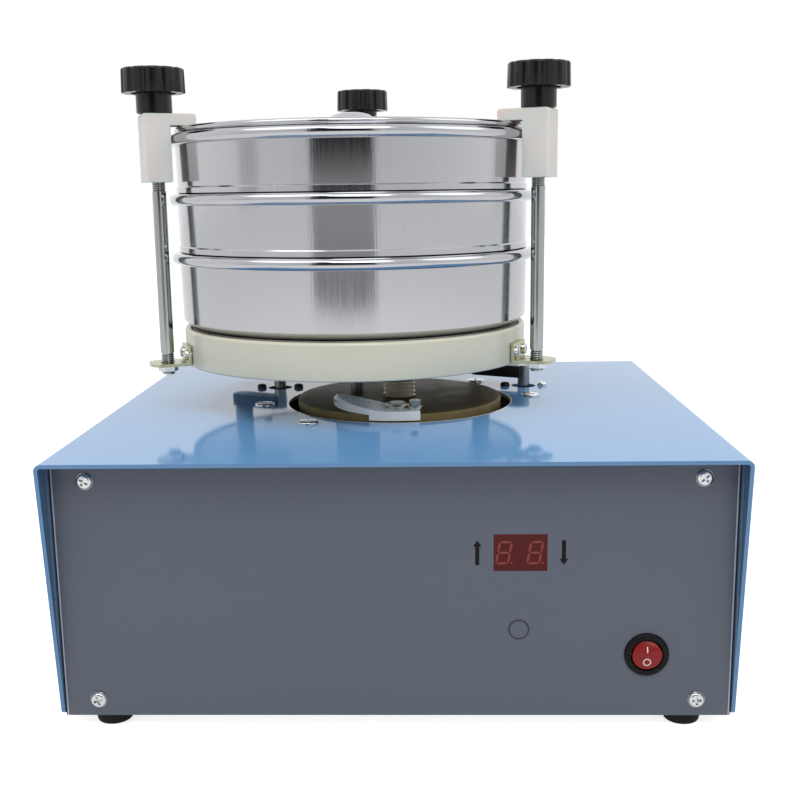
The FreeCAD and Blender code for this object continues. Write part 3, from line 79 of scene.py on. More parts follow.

# %% [markdown]
# ## Colour and node helpers
# Colours are judged on a screen, where they are stored on a curve. A shader wants
# plain linear light, so one small function turns the three screen numbers into that.
# A second one adds a node, fills in its sockets, and keeps the material cells short.

# %% Colour and node helpers
def screen_colour(red, green, blue):
    def linear(value):
        value = value / 255
        return value / 12.92 if value <= 0.04045 else ((value + 0.055) / 1.055) ** 2.4
    return (linear(red), linear(green), linear(blue), 1.0)


def add_node(tree, kind, inputs=None, **settings):
    node = tree.nodes.new(kind)
    for name, value in settings.items():
        setattr(node, name, value)
    for name, value in (inputs or {}).items():
        socket = node.inputs[name]
        if isinstance(value, bpy.types.NodeSocket):
            tree.links.new(value, socket)
        else:
            socket.default_value = value
    return node


def calculate(tree, operation, first, second=0.0, third=0.0):
    node = tree.nodes.new("ShaderNodeMath")
    node.operation = operation
    for socket, value in zip(node.inputs, (first, second, third)):
        if isinstance(value, bpy.types.NodeSocket):
            tree.links.new(value, socket)
        else:
            socket.default_value = value
    return node.outputs[0]


def new_group(name, inputs, outputs):
    """An empty shader group with named sockets, and its two end nodes."""
    tree = bpy.data.node_groups.new(name, "ShaderNodeTree")
    for label, kind, value in inputs:
        socket = tree.interface.new_socket(name=label, in_out="INPUT", socket_type=kind)
        socket.default_value = value
    for label, kind in outputs:
        tree.interface.new_socket(name=label, in_out="OUTPUT", socket_type=kind)
    return tree, tree.nodes.new("NodeGroupInput"), tree.nodes.new("NodeGroupOutput")


NUMBER, COLOUR, VECTOR = "NodeSocketFloat", "NodeSocketColor", "NodeSocketVector"
print("helpers ready")

# %% [markdown]
# ## A surface that is never quite even
# No real paint or moulding is one flat colour. Large soft noise shifts the colour and the
# gloss a little, and fine noise gives the skin a grain. Every finish can use this, so
# it's one group with a number for each effect. Small helpers make the kinds of node that
# come back in other finishes.

# %% Group: uneven surface
def coordinate(tree, kind="Object"):
    return add_node(tree, "ShaderNodeTexCoord").outputs[kind]


def noise(tree, place, scale, detail, roughness=0.5):
    return add_node(tree, "ShaderNodeTexNoise", {
        "Vector": place, "Scale": scale, "Detail": detail, "Roughness": roughness}).outputs["Fac"]


def vector_maths(tree, operation, first, second=None):
    """Vector arithmetic. A scale has a socket of its own, any other value goes second."""
    inputs = {0: first}
    if second is not None:
        inputs["Scale" if operation == "SCALE" else 1] = second
    node = add_node(tree, "ShaderNodeVectorMath", inputs, operation=operation)
    return node.outputs["Value" if operation == "LENGTH" else "Vector"]


def bump(tree, strength, distance, height):
    return add_node(tree, "ShaderNodeBump", {
        "Strength": strength, "Distance": distance, "Height": height}).outputs[0]


def build_uneven_surface():
    tree, start, end = new_group(
        "uneven_surface",
        [("Colour", COLOUR, (0.5, 0.5, 0.5, 1)), ("Shift", NUMBER, 0.08), ("Roughness", NUMBER, 0.4),
         ("Spread", NUMBER, 0.1), ("Patch Size", NUMBER, 18.0), ("Grain Size", NUMBER, 900.0),
         ("Grain", NUMBER, 0.1)],
        [("Colour", COLOUR), ("Roughness", NUMBER), ("Normal", VECTOR)])
    place = coordinate(tree)
    swing = calculate(tree, "SUBTRACT", noise(tree, place, start.outputs["Patch Size"], 4.0, 0.6), 0.5)
    level = calculate(tree, "MULTIPLY_ADD", swing, start.outputs["Shift"], 1.0)
    tree.links.new(vector_maths(tree, "SCALE", start.outputs["Colour"], level), end.inputs["Colour"])
    smudge = noise(tree, place, calculate(tree, "MULTIPLY", start.outputs["Patch Size"], 2.3), 6.0, 0.65)
    gloss = calculate(tree, "MULTIPLY_ADD", calculate(tree, "SUBTRACT", smudge, 0.5),
                      start.outputs["Spread"], start.outputs["Roughness"])
    tree.links.new(calculate(tree, "MAXIMUM", gloss, 0.02), end.inputs["Roughness"])
    grain = noise(tree, place, start.outputs["Grain Size"], 2.0)
    tree.links.new(bump(tree, start.outputs["Grain"], 0.0002, grain), end.inputs["Normal"])
    return tree


uneven_surface = build_uneven_surface()
print("sockets in", [s.name for s in uneven_surface.interface.items_tree])

# %% [markdown]
# ## Brushed round walls
# Sieve walls are rolled and polished, which leaves fine streaks up and down. The streaks
# should follow the wall round its axis. The direction from the axis, as a unit vector,
# has no seam, unlike an angle, so noise is read from that direction with very little
# change along the height.

# %% Group: upright streaks round an axis
def split(tree, vector):
    return add_node(tree, "ShaderNodeSeparateXYZ", {"Vector": vector}).outputs


def build_upright_streaks():
    tree, start, end = new_group(
        "upright_streaks",
        [("Centre", VECTOR, (0, 0, 0)), ("Colour", COLOUR, (0.7, 0.7, 0.7, 1)), ("Shift", NUMBER, 0.1),
         ("Roughness", NUMBER, 0.25), ("Spread", NUMBER, 0.2), ("Fineness", NUMBER, 60.0),
         ("Along", NUMBER, 4.0), ("Relief", NUMBER, 0.1)],
        [("Colour", COLOUR), ("Roughness", NUMBER), ("Normal", VECTOR)])
    place = coordinate(tree)
    flat = vector_maths(tree, "MULTIPLY", vector_maths(tree, "SUBTRACT", place, start.outputs["Centre"]),
                        (1, 1, 0))
    round_way = vector_maths(tree, "NORMALIZE", flat)
    fine = vector_maths(tree, "SCALE", round_way, start.outputs["Fineness"])
    rise = add_node(tree, "ShaderNodeCombineXYZ", {
        "Z": calculate(tree, "MULTIPLY", split(tree, place)["Z"], start.outputs["Along"])})
    streaks = noise(tree, vector_maths(tree, "ADD", fine, rise.outputs[0]), 1.0, 3.0, 0.6)
    swing = calculate(tree, "SUBTRACT", streaks, 0.5)
    level = calculate(tree, "MULTIPLY_ADD", swing, start.outputs["Shift"], 1.0)
    tree.links.new(vector_maths(tree, "SCALE", start.outputs["Colour"], level), end.inputs["Colour"])
    gloss = calculate(tree, "MULTIPLY_ADD", swing, start.outputs["Spread"], start.outputs["Roughness"])
    tree.links.new(calculate(tree, "MAXIMUM", gloss, 0.03), end.inputs["Roughness"])
    tree.links.new(bump(tree, start.outputs["Relief"], 0.0002, streaks), end.inputs["Normal"])
    return tree


upright_streaks = build_upright_streaks()
print("streak group has", len(upright_streaks.nodes), "nodes")

# %% [markdown]
# ## From group to material
# A material keeps its own shader. Values that are the same all over, such as the coat,
# go straight on the shader's sockets, and only what changes over the surface comes from
# a group.

# %% Make a material from a group
def new_material(name, **sockets):
    material = bpy.data.materials.new(name)
    material.use_nodes = True
    shader = material.node_tree.nodes["Principled BSDF"]
    for label, value in sockets.items():
        shader.inputs[label.replace("_", " ")].default_value = value
    return material, shader


def dress(material, shader, group, **values):
    tree = material.node_tree
    node = tree.nodes.new("ShaderNodeGroup")
    node.node_tree = group
    for label, value in values.items():
        node.inputs[label.replace("_", " ")].default_value = value
    for source, target in (("Colour", "Base Color"), ("Roughness", "Roughness"), ("Normal", "Normal")):
        tree.links.new(node.outputs[source], shader.inputs[target])
    return node


def even_finish(name, colour, roughness, shift=0.08, spread=0.1, patch=18.0, grain_size=900.0,
                grain=0.1, **sockets):
    material, shader = new_material(name, **sockets)
    dress(material, shader, uneven_surface, Colour=screen_colour(*colour), Shift=shift,
          Roughness=roughness, Spread=spread, Patch_Size=patch, Grain_Size=grain_size, Grain=grain)
    return material


def streaked_finish(name, centre, colour, roughness, shift=0.1, spread=0.2, fineness=60.0,
                    along=4.0, relief=0.1, **sockets):
    material, shader = new_material(name, **sockets)
    dress(material, shader, upright_streaks, Centre=(centre.x, centre.y, 0), Shift=shift,
          Colour=screen_colour(*colour), Roughness=roughness, Spread=spread, Fineness=fineness,
          Along=along, Relief=relief)
    return material


print("material makers ready")

# %% [markdown]
# ## Paint, rubber and mouldings
# The cover has glossy blue enamel, and the panels have flatter slate paint. The tray is
# waxy ivory plastic, the clamp blocks are white nylon that lets a little light in, and
# the knobs are hard black resin with a polish.

# %% Finishes of painted and moulded pieces
finishes = {
    "slate_paint": even_finish("slate_paint", (84, 91, 104), 0.42, shift=0.07, spread=0.1, patch=11,
                               grain_size=1500, grain=0.16),
    "slate_key": even_finish("slate_key_film", (82, 89, 102), 0.36, shift=0.06, patch=30, grain=0.08),
    "black_rubber": even_finish("foot_rubber", (16, 16, 17), 0.7, shift=0.3, spread=0.2, patch=60,
                                grain_size=1800, grain=0.3, Specular_IOR_Level=0.2),
    "red_window": even_finish("red_display_window", (78, 14, 13), 0.25, shift=0.25, spread=0.08,
                              patch=90, grain=0.02, Specular_IOR_Level=0.2),
    "dark_plastic": even_finish("black_switch_moulding", (13, 12, 14), 0.45, shift=0.15, spread=0.12,
                                patch=45, grain_size=2200, grain=0.12, Specular_IOR_Level=0.15),
    "board_green": even_finish("board_lacquer", (24, 84, 52), 0.3, shift=0.3, patch=160, grain=0.1),
    "red_plastic": even_finish("red_rocker_plastic", (134, 20, 18), 0.3, shift=0.12, spread=0.1,
                               patch=50, grain_size=1800, grain=0.05, Specular_IOR_Level=0.3),
    "ivory_plastic": even_finish("ivory_tray_plastic", (206, 203, 184), 0.24, shift=0.06, spread=0.12,
                                 patch=12, grain_size=500, grain=0.03, Subsurface_Weight=0.08,
                                 Subsurface_Scale=0.004),
    "white_nylon": even_finish("white_nylon", (214, 212, 208), 0.42, shift=0.05, spread=0.12, patch=22,
                               grain_size=1400, grain=0.1, Subsurface_Weight=0.5,
                               Subsurface_Scale=0.012),
    "bakelite": even_finish("black_knob_resin", (14, 13, 14), 0.26, shift=0.3, spread=0.12, patch=40,
                            grain_size=900, grain=0.03, Specular_IOR_Level=0.35),
}
print(sorted(finishes))

# %% [markdown]
# ## Enamel with a bare rim
# Where the disc comes through, the enamel of the cover is rubbed off the edge of the
# hole, which shows as a thin bright line. A mask on the distance from the disc's axis
# mixes bare metal into the paint, and noise makes the line a little uneven. Upright
# faces get painted shade, a darker colour, and those that look into the box get the
# darkest painted shade.

# %% Finish of the cover
def distance_from_axis(tree, centre):
    """A value: how far the shaded point is from an upright axis."""
    place = coordinate(tree)
    offset = vector_maths(tree, "SUBTRACT", place, (centre.x, centre.y, 0))
    flat = vector_maths(tree, "MULTIPLY", offset, (1, 1, 0))
    return place, vector_maths(tree, "LENGTH", flat)


def mix_colours(tree, factor, first, second):
    return add_node(tree, "ShaderNodeMix", {"Factor": factor, 6: first, 7: second},
                    data_type="RGBA").outputs[2]


def enamel_finish(colour, hole, line):
    material, shader = new_material("blue_enamel")
    group = dress(material, shader, uneven_surface, Colour=screen_colour(*colour), Shift=0.06,
                  Roughness=0.07, Spread=0.05, Patch_Size=9.0, Grain_Size=260.0, Grain=0.012)
    tree = material.node_tree
    place, reach = distance_from_axis(tree, drive)
    width = calculate(tree, "MULTIPLY_ADD", noise(tree, place, 120.0, 3.0), line, hole + line * 0.4)
    bare = calculate(tree, "LESS_THAN", reach, width)
    # Painted shade: upright faces are darker, and faces that look into the box darker still.
    facing = split(tree, add_node(tree, "ShaderNodeNewGeometry").outputs["True Normal"])
    upright = calculate(tree, "LESS_THAN", calculate(tree, "ABSOLUTE", facing["Z"]), 0.5)
    across = split(tree, place)["X"]
    inward = calculate(tree, "LESS_THAN", calculate(tree, "MULTIPLY", across, facing["X"]), -0.03)
    painted_shade = calculate(tree, "MULTIPLY_ADD", upright, -0.3, 1.0)
    painted_shade = calculate(tree, "MULTIPLY_ADD", inward, -0.3, painted_shade)
    shaded = vector_maths(tree, "SCALE", group.outputs["Colour"], painted_shade)
    mixed = mix_colours(tree, bare, shaded, screen_colour(224, 226, 222))
    tree.links.new(mixed, shader.inputs["Base Color"])
    return material


finishes["blue_paint"] = enamel_finish((102, 155, 206), 69.5 * MM, 1.2 * MM)
print("enamel made")

# %% [markdown]
# ## Metals
# The rods, brackets and screws are zinc plated, with a faint yellow-green cast. The
# castings under the cover are rough grey aluminium. The sieves are bright, with upright
# streaks round the stack's axis.

# %% Finishes of metal pieces
finishes.update({
    "zinc_plate": even_finish("zinc_plate", (196, 198, 188), 0.24, shift=0.2, spread=0.25, patch=70,
                              grain_size=1500, grain=0.08, Metallic=1.0),
    "cast_casing": even_finish("cast_aluminium", (150, 158, 166), 0.42, shift=0.18, spread=0.2,
                               patch=60, grain_size=700, grain=0.35, Metallic=0.85),
    "core_steel": even_finish("laminated_core", (110, 106, 100), 0.5, shift=0.25, patch=120,
                              grain_size=1400, grain=0.3, Metallic=0.7),
    "black_steel": even_finish("blackened_steel", (34, 34, 34), 0.32, shift=0.3, spread=0.25,
                               patch=80, grain_size=1200, grain=0.15, Metallic=0.5),
    "sieve_steel": streaked_finish("sieve_wall_metal", stack, (183, 184, 188), 0.1, shift=0.12,
                                   spread=0.16, fineness=150.0, along=30.0, relief=0.12,
                                   Metallic=1.0),
})
zinc_yellow = even_finish("yellow_zinc_plate", (176, 176, 146), 0.26, shift=0.35, spread=0.25, patch=90,
                          grain_size=1300, grain=0.08, Metallic=1.0)
bright_screw = even_finish("bright_screw_metal", (206, 208, 210), 0.18, shift=0.2, spread=0.2, patch=200,
                           grain_size=2400, grain=0.05, Metallic=1.0)
polished_rod = even_finish("polished_rod_metal", (164, 169, 168), 0.12, shift=0.15, spread=0.14, patch=60,
                           grain_size=900, grain=0.04, Metallic=1.0)
shaft_steel = even_finish("shaft_steel", (146, 148, 147), 0.24, shift=0.25, spread=0.2, patch=90,
                          grain_size=1200, grain=0.06, Metallic=1.0)
print("metals", len(finishes))

# %% [markdown]
# ## The oily disc
# The disc and its spindle are bare steel, brown with old oil, and its rim is painted
# paler, a painted highlight. The distance from the axis says where the rim is. Blotches
# come from noise, and both feed the colour and the gloss.

# %% Finish of the oily disc
def map_range(tree, value, start, stop, to_start=0.0, to_stop=1.0):
    return add_node(tree, "ShaderNodeMapRange", {
        "Value": value, "From Min": start, "From Max": stop,
        "To Min": to_start, "To Max": to_stop}).outputs[0]


def oily_steel(name, centre, bright_from, bright_to):
    material, shader = new_material(name, Metallic=0.35, Specular_IOR_Level=0.1)
    tree = material.node_tree
    place, reach = distance_from_axis(tree, centre)
    rim = map_range(tree, reach, bright_from, bright_to)
    blotches = noise(tree, place, 70.0, 6.0, 0.62)
    # Painted highlight: a paler band near the rim, broken up by the blotches.
    painted_rim_highlight = calculate(tree, "MULTIPLY", rim, calculate(tree, "MULTIPLY_ADD", blotches, 1.2, 0.15))
    oil = mix_colours(tree, blotches, screen_colour(48, 40, 24), screen_colour(98, 82, 44))
    final = mix_colours(tree, painted_rim_highlight, oil, screen_colour(128, 114, 82))
    tree.links.new(final, shader.inputs["Base Color"])
    gloss = calculate(tree, "MULTIPLY_ADD", blotches, 0.4, 0.32)
    tree.links.new(gloss, shader.inputs["Roughness"])
    tree.links.new(bump(tree, 0.15, 0.0003, blotches), shader.inputs["Normal"])
    return material


finishes["worn_steel"] = oily_steel("oily_disc_steel", drive, radius_of("turntable_disc") - 0.003,
                                    radius_of("turntable_disc"))
dark_thread = even_finish("dark_oiled_thread", (205, 196, 176), 0.34, shift=0.5, spread=0.25, patch=150,
                          grain_size=1200, grain=0.1, Metallic=0.6)
weight_finish = even_finish("pale_casting", (238, 243, 247), 0.3, shift=0.22, spread=0.3, patch=110,
                           grain_size=900, grain=0.4, Metallic=0.0)
print("disc finish made")

# %% [markdown]
# ## The panel's bare edges
# The slate film on the front panel stops short of the sheet's upright edges, and leaves
# a thin strip of bare metal on each side. The strip is part of the same sheet, so it's
# a mask on the distance from the middle, mixed into the paint. A second mask makes the
# very edge dark, painted shade for the gap between the panel and the cover.

# %% Finish of the front panel
def panel_finish(half_width, strip):
    material, shader = new_material("slate_film_on_sheet")
    group = dress(material, shader, uneven_surface, Colour=screen_colour(84, 91, 104), Shift=0.07,
                  Roughness=0.4, Spread=0.1, Patch_Size=11.0, Grain_Size=1500.0, Grain=0.16)
    tree = material.node_tree
    reach = calculate(tree, "ABSOLUTE", split(tree, coordinate(tree))["X"])
    bare = calculate(tree, "GREATER_THAN", reach, half_width - strip)
    rimmed = mix_colours(tree, bare, group.outputs["Colour"], screen_colour(182, 184, 194))
    # Painted shade: the outermost sliver goes dark, for the gap beside the cover.
    edge = calculate(tree, "GREATER_THAN", reach, half_width - strip * 0.4)
    rimmed = mix_colours(tree, edge, rimmed, screen_colour(28, 30, 44))
    tree.links.new(rimmed, shader.inputs["Base Color"])
    return material


front_panel_finish = panel_finish(radius_of("front_panel"), 1.1 * MM)
print("panel half width", round(radius_of("front_panel"), 4))

# %% [markdown]
# ## Dress the solids
# Each solid knows the material slot it belongs to. Most of them keep their own shape and
# only get the finish of that slot. The few that differ are named here.

# %% Give every solid its finish
slots = {part["node"]: part["material_slot"] for part in frame["record"]["subparts"]}
special = {"front_panel": front_panel_finish, "rod_brackets": zinc_yellow, "clamp_rods": polished_rod,
           "rod_nuts": bright_screw, "drive_spindle": dark_thread, "counterweight": weight_finish,
           "left_crank_pins": shaft_steel, "right_crank_pins": shaft_steel, "driving_pin": shaft_steel}
for node, obj in frame["nodes"].items():
    obj.data.materials.clear()
    obj.data.materials.append(special.get(node, finishes[slots[node]]))
print("dressed", len(slots), "solids")

# %% [markdown]
# ## Adding a finished piece
# A new piece sits at the origin with its place in its mesh, rides on the body that
# carries it, and may stand for the plain solid. Faces that meet at a shallow angle are
# shaded smooth, and sharper edges stay crisp. Two helpers turn a working mesh into data
# and the data into an object, for these pieces and later for the floor and the lamps.

# %% Finish a mesh as a piece
def mesh_from(name, work):
    mesh = bpy.data.meshes.new(name)
    work.to_mesh(mesh)
    work.free()
    return mesh


def into_scene(name, data):
    made = bpy.data.objects.new(name, data)
    bpy.context.scene.collection.objects.link(made)
    return made


def body_of(node):
    for body, names in frame["record"]["behaviour"]["bodies"].items():
        if node in names:
            return body
    raise KeyError(node)


def add_piece(name, mesh_in_work, node, finish, stands_for=False, smooth=35):
    bmesh.ops.recalc_face_normals(mesh_in_work, faces=mesh_in_work.faces)
    mesh = mesh_from(name, mesh_in_work)
    for polygon in mesh.polygons:
        polygon.use_smooth = smooth > 0
    if smooth > 0:
        mesh.set_sharp_from_angle(angle=math.radians(smooth))
    piece = into_scene(name, mesh)
    mesh.materials.append(finish)
    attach(piece, body_of(node))
    if stands_for:
        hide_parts(node)
    print(name, len(mesh.polygons), "faces")
    return piece


# %% [markdown]
# ## Smooth copies of small round solids
# The solids come as loose triangles, which shade in flat steps. For blocks and other
# small pieces it's enough to weld a copy, merge the triangles of each flat face, and let a
# small bevel catch the light on its edges.

# %% Weld and soften a copy of a solid
def smooth_copy(node, finish=None, edge=0.0, smooth=35, segments=2):
    work = bmesh.new()
    work.from_mesh(frame["nodes"][node].data)
    bmesh.ops.remove_doubles(work, verts=work.verts, dist=1e-6)
    bmesh.ops.dissolve_limit(work, angle_limit=math.radians(0.6), verts=work.verts, edges=work.edges,
                             use_dissolve_boundaries=False)
    piece = add_piece("fine_" + node, work, node, finish or special.get(node, finishes[slots[node]]),
                      stands_for=True, smooth=smooth)
    if edge > 0:
        bevel = piece.modifiers.new("soft_edges", "BEVEL")
        bevel.width = edge
        bevel.segments = segments
        bevel.limit_method = "ANGLE"
        bevel.angle_limit = math.radians(40)
        bevel.harden_normals = True
    return piece


for node in ("left_clamp_block", "right_clamp_block", "back_clamp_block"):
    smooth_copy(node, edge=0.5 * MM)
for node in ("left_crank_arm", "right_crank_arm", "counterweight"):
    smooth_copy(node, edge=0.3 * MM)
for node in ("rod_brackets", "rod_nuts", "counterweight_bolts", "power_rocker"):
    smooth_copy(node, edge=0.2 * MM)
for node in ("feet", "left_crank_pins", "right_crank_pins", "driving_pin", "centre_bearing",
             "table_bosses", "left_crank_bearing", "right_crank_bearing", "switch_housing",
             "motor_capacitor", "fuse_holder", "drive_motor", "gearbox", "top_cover", "table_plate"):
    smooth_copy(node)

# %% [markdown]
# ## Turned pieces
# The tray, the pan, the sieves, the lid and the disc are all round about one axis. Each
# is an outline of radius and height that `spin` turns through a full circle. `use_merge`
# closes the seam, and points on the axis are welded afterwards.

# %% Turn an outline round an upright axis
def curve(radius, height, size, start, stop, count=8):
    """Points of an arc in an outline: its middle, its size, and two angles in degrees."""
    steps = [start + (stop - start) * index / count for index in range(count + 1)]
    return [(radius + size * math.cos(math.radians(a)), height + size * math.sin(math.radians(a)))
            for a in steps]


def turned(outline, centre, steps=192):
    work = bmesh.new()
    points = [work.verts.new((radius * MM, 0, height * MM)) for radius, height in outline]
    rims = [work.edges.new((points[index - 1], points[index])) for index in range(len(points))]
    bmesh.ops.spin(work, geom=points + rims, cent=(0, 0, 0), axis=(0, 0, 1), angle=math.tau,
                   steps=steps, use_merge=True)
    bmesh.ops.remove_doubles(work, verts=work.verts, dist=1e-7)
    bmesh.ops.dissolve_degenerate(work, edges=work.edges, dist=1e-7)
    bmesh.ops.translate(work, verts=work.verts, vec=(centre.x, centre.y, 0))
    return work


def levels(node):
    low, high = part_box(node)
    return low.z / MM, high.z / MM, (high.x - low.x) / 2 / MM


print("curve sample", [tuple(round(v, 2) for v in p) for p in curve(10, 0, 2, 0, 90, 2)])

# %% [markdown]
# ## The ivory tray
# The tray is a moulded ring with a thick wall, a round lip that catches a bright line,
# and a ledge inside that the pan stands on.

# %% Model the tray ring
low, high, edge = levels("tray_ring")
inner = edge - 4
outline = [(inner, low), (edge - 1, low)] + curve(edge - 1, low + 1, 1, -90, 0, 4)
outline += curve(edge - 1.9, high - 1.9, 1.9, 0, 90, 8) + curve(inner + 1.9, high - 1.9, 1.9, 90, 180, 8)
outline += [(inner, low + 7.7), (inner - 10, low + 7.7), (inner - 10, low + 3.7), (inner, low + 3.7)]
add_piece("fine_tray_ring", turned(outline, stack), "tray_ring", finishes["ivory_plastic"], stands_for=True)

# %% [markdown]
# ## Rolled beads
# A sieve frame is spun from sheet, and its rim is rolled over a wire, so it shows as a
# round bead. A smaller bead stands at its foot, and below that a spigot drops into the
# next frame. The two sieves are alike, so one outline serves both.

# %% Model the sieves and the pan
WALL = 106.7
SHEET = 1.2
SPIGOT, SPIGOT_INSIDE = 104.9, 103.7
SPIGOT_DEPTH = 10
BEAD = 6.8


def rolled_bead(bottom, top, outer):
    """The outside of a bead that leaves the wall, swells and comes back to it."""
    half = (top - bottom) / 2
    middle = bottom + half
    angles = [math.radians(a) for a in range(-89, 90, 12)]
    return [(WALL + (outer - WALL) * math.cos(a) ** 0.55, middle + half * math.sin(a)) for a in angles]


for node in ("lower_sieve_frame", "upper_sieve_frame"):
    low, high, edge = levels(node)
    foot = low + SPIGOT_DEPTH
    outline = [(SPIGOT_INSIDE, low), (SPIGOT, low), (SPIGOT, foot), (WALL - 0.6, foot)]
    outline += [(WALL + 0.7, foot + 0.7), (WALL + 0.7, foot + 3.6), (WALL, foot + 4.4)]
    outline += rolled_bead(high - BEAD, high, edge)
    outline += [(WALL - SHEET, high), (WALL - SHEET, foot + 4.4), (SPIGOT_INSIDE, foot + 4.4)]
    add_piece("fine_" + node, turned(outline, stack), node, finishes["sieve_steel"], stands_for=True)

low, high, edge = levels("catch_pan")
step = high - 45.2
outline = [(0, low)] + curve(99.9, low + 2, 2, -90, 0, 5) + [(101.9, step), (WALL, step + 4.6)]
outline += rolled_bead(high - BEAD, high, edge)
outline += [(WALL - SHEET, high), (WALL - SHEET, step + 5.8), (100.7, step + SHEET)]
outline += [(100.7, low + SHEET), (0, low + SHEET)]
add_piece("fine_catch_pan", turned(outline, stack), "catch_pan", finishes["sieve_steel"], stands_for=True)

# %% [markdown]
# ## The lid
# The lid's rim rolls over the top bead. Its web rises very slightly to a pressed round
# boss in the middle, which stiffens the sheet.

# %% Model the lid
low, high, edge = levels("sieve_lid")
seat = low + SPIGOT_DEPTH
outline = [(SPIGOT_INSIDE, low), (SPIGOT, low), (SPIGOT, seat), (WALL - 0.5, seat)]
outline += curve(edge - 1.9, seat + 1.95, 1.9, -80, 90, 10) + curve(103.5, seat + 2.4, 1.5, 90, 160, 5)
outline += [(99.9, seat + 1.2), (17, seat + 9.3), (14.8, seat + 9.6), (13.2, seat + 10.5)]
outline += [(11, high - 1.5), (8.4, high - 0.7), (5.4, high - 0.2), (0, high)]
outline += [(0, high - SHEET), (5.4, high - 1.4), (8.4, high - 1.9), (11, high - 2.7)]
outline += [(13.2, seat + 8.6), (99.9, seat), (SPIGOT_INSIDE, seat)]
add_piece("fine_sieve_lid", turned(outline, stack), "sieve_lid", finishes["sieve_steel"], stands_for=True)

# %% [markdown]
# ## The disc
# The disc is a plain turned plate with broken edges. Its hub stands below it, inside the
# box.

# %% Model the disc
low, high, edge = levels("turntable_disc")
BORE, HUB, HUB_HEIGHT, BROKEN_EDGE = 10.02, 20, 2.7, 0.8
face = low + HUB_HEIGHT
turn_in = edge - BROKEN_EDGE
outline = [(BORE, low), (HUB, low), (HUB, face), (turn_in, face)]
outline += curve(turn_in, face + BROKEN_EDGE, BROKEN_EDGE, -90, 0, 3)
outline += curve(turn_in, high - BROKEN_EDGE, BROKEN_EDGE, 0, 90, 3) + [(BORE, high)]
add_piece("fine_turntable_disc", turned(outline, drive), "turntable_disc", finishes["worn_steel"],
          stands_for=True)

# %% [markdown]
# ## The fluted knobs
# A knob is turned like the other round pieces, and then its skirt is pressed in by twelve
# shallow flutes. The press grows from nothing at the hub, so the top stays flat.

# %% Model the knobs
def press_flutes(work, centre, start, count, depth):
    for vert in work.verts:
        flat = Vector((vert.co.x - centre.x, vert.co.y - centre.y, 0))
        if flat.length > start * MM:
            angle = math.atan2(flat.y, flat.x)
            share = max(0.0, math.cos(count * angle) - 0.1) / 0.9
            press = flat.normalized() * share * depth * MM
            vert.co.x -= press.x
            vert.co.y -= press.y
    return work


HUB_TALL = 11.3
ROD_HOLE = 4.2
FLUTE_START, FLUTES, FLUTE_DEPTH = 15.4, 12, 1.1

for node in ("left_knob", "right_knob", "back_knob"):
    low, high, _ = levels(node)
    skirt, floor = low + HUB_TALL, high - 4
    outline = [(ROD_HOLE, low), (9.7, low), (10.2, low + 0.5), (10.2, floor), (12.9, floor)]
    outline += [(12.9, skirt), (17.6, skirt)] + curve(17.7, skirt + 0.4, 0.4, -90, 0, 3) + [(17.8, high - 1.6)]
    outline += curve(16.6, high - 1.2, 1.2, 0, 90, 5)
    outline += [(15.2, high), (0, high), (0, floor), (ROD_HOLE, floor)]
    centre = middle_of(node)
    knob = press_flutes(turned(outline, centre), centre, FLUTE_START, FLUTES, FLUTE_DEPTH)
    add_piece("fine_" + node, knob, node, finishes["bakelite"], stands_for=True)

# %% [markdown]
# ## Screw threads
# A thread is one tooth outline that climbs as it turns. `spin` does that when each step
# also moves along the axis. The outline spans exactly one pitch, so each turn meets the
# next one and the welded result is a continuous ridge.

# %% Turn a thread
def threaded_bar(bottom, top, radius, pitch, centre, plain=(), steps=20):
    """A bar with a thread from bottom to top, and plain stretches at other heights."""
    depth = pitch * 0.55
    turns = int((top - bottom) / pitch)
    work = bmesh.new()
    tooth = [(radius - depth, 0), (radius, pitch * 0.42), (radius, pitch * 0.58), (radius - depth, pitch)]
    points = [work.verts.new((r * MM, 0, (bottom + z) * MM)) for r, z in tooth]
    rims = [work.edges.new(pair) for pair in zip(points, points[1:])]
    bmesh.ops.spin(work, geom=points + rims, cent=(0, 0, 0), axis=(0, 0, 1),
                   dvec=(0, 0, pitch * MM / steps), angle=math.tau * (turns - 1),
                   steps=steps * (turns - 1), use_merge=False)
    bmesh.ops.remove_doubles(work, verts=work.verts, dist=1e-6)
    core = radius - depth + 0.02
    stretches = [(bottom, top, core)] + [(low, high, radius) for low, high in plain]
    for low, high, size in stretches:
        made = bmesh.ops.create_cone(work, cap_ends=True, segments=32, radius1=size * MM,
                                     radius2=size * MM, depth=(high - low) * MM)
        bmesh.ops.translate(work, verts=made["verts"], vec=(0, 0, (low + high) / 2 * MM))
    bmesh.ops.translate(work, verts=work.verts, vec=(centre.x, centre.y, 0))
    return work


def merge_into(target, source):
    """Adds one working mesh to another."""
    carrier = mesh_from("carrier", source)
    target.from_mesh(carrier)
    bpy.data.meshes.remove(carrier)


ROD_CIRCLE = 0.119
ROD_RADIUS, ROD_PITCH = 4, 1.25
SPINDLE_RADIUS, SPINDLE_PITCH = 10, 2.5

low, high, edge = levels("clamp_rods")
rods = bmesh.new()
clamp_angles = {"left": 202, "right": -22, "back": 90}
rod_places = {side: Vector((stack.x + ROD_CIRCLE * math.cos(math.radians(a)),
                            stack.y + ROD_CIRCLE * math.sin(math.radians(a)), 0))
              for side, a in clamp_angles.items()}
for place in rod_places.values():
    merge_into(rods, threaded_bar(275, high, ROD_RADIUS, ROD_PITCH, place, plain=[(181, 275.5)]))
    merge_into(rods, threaded_bar(low, 181.5, ROD_RADIUS, ROD_PITCH, place))
add_piece("fine_clamp_rods", rods, "clamp_rods", polished_rod, stands_for=True, smooth=40)

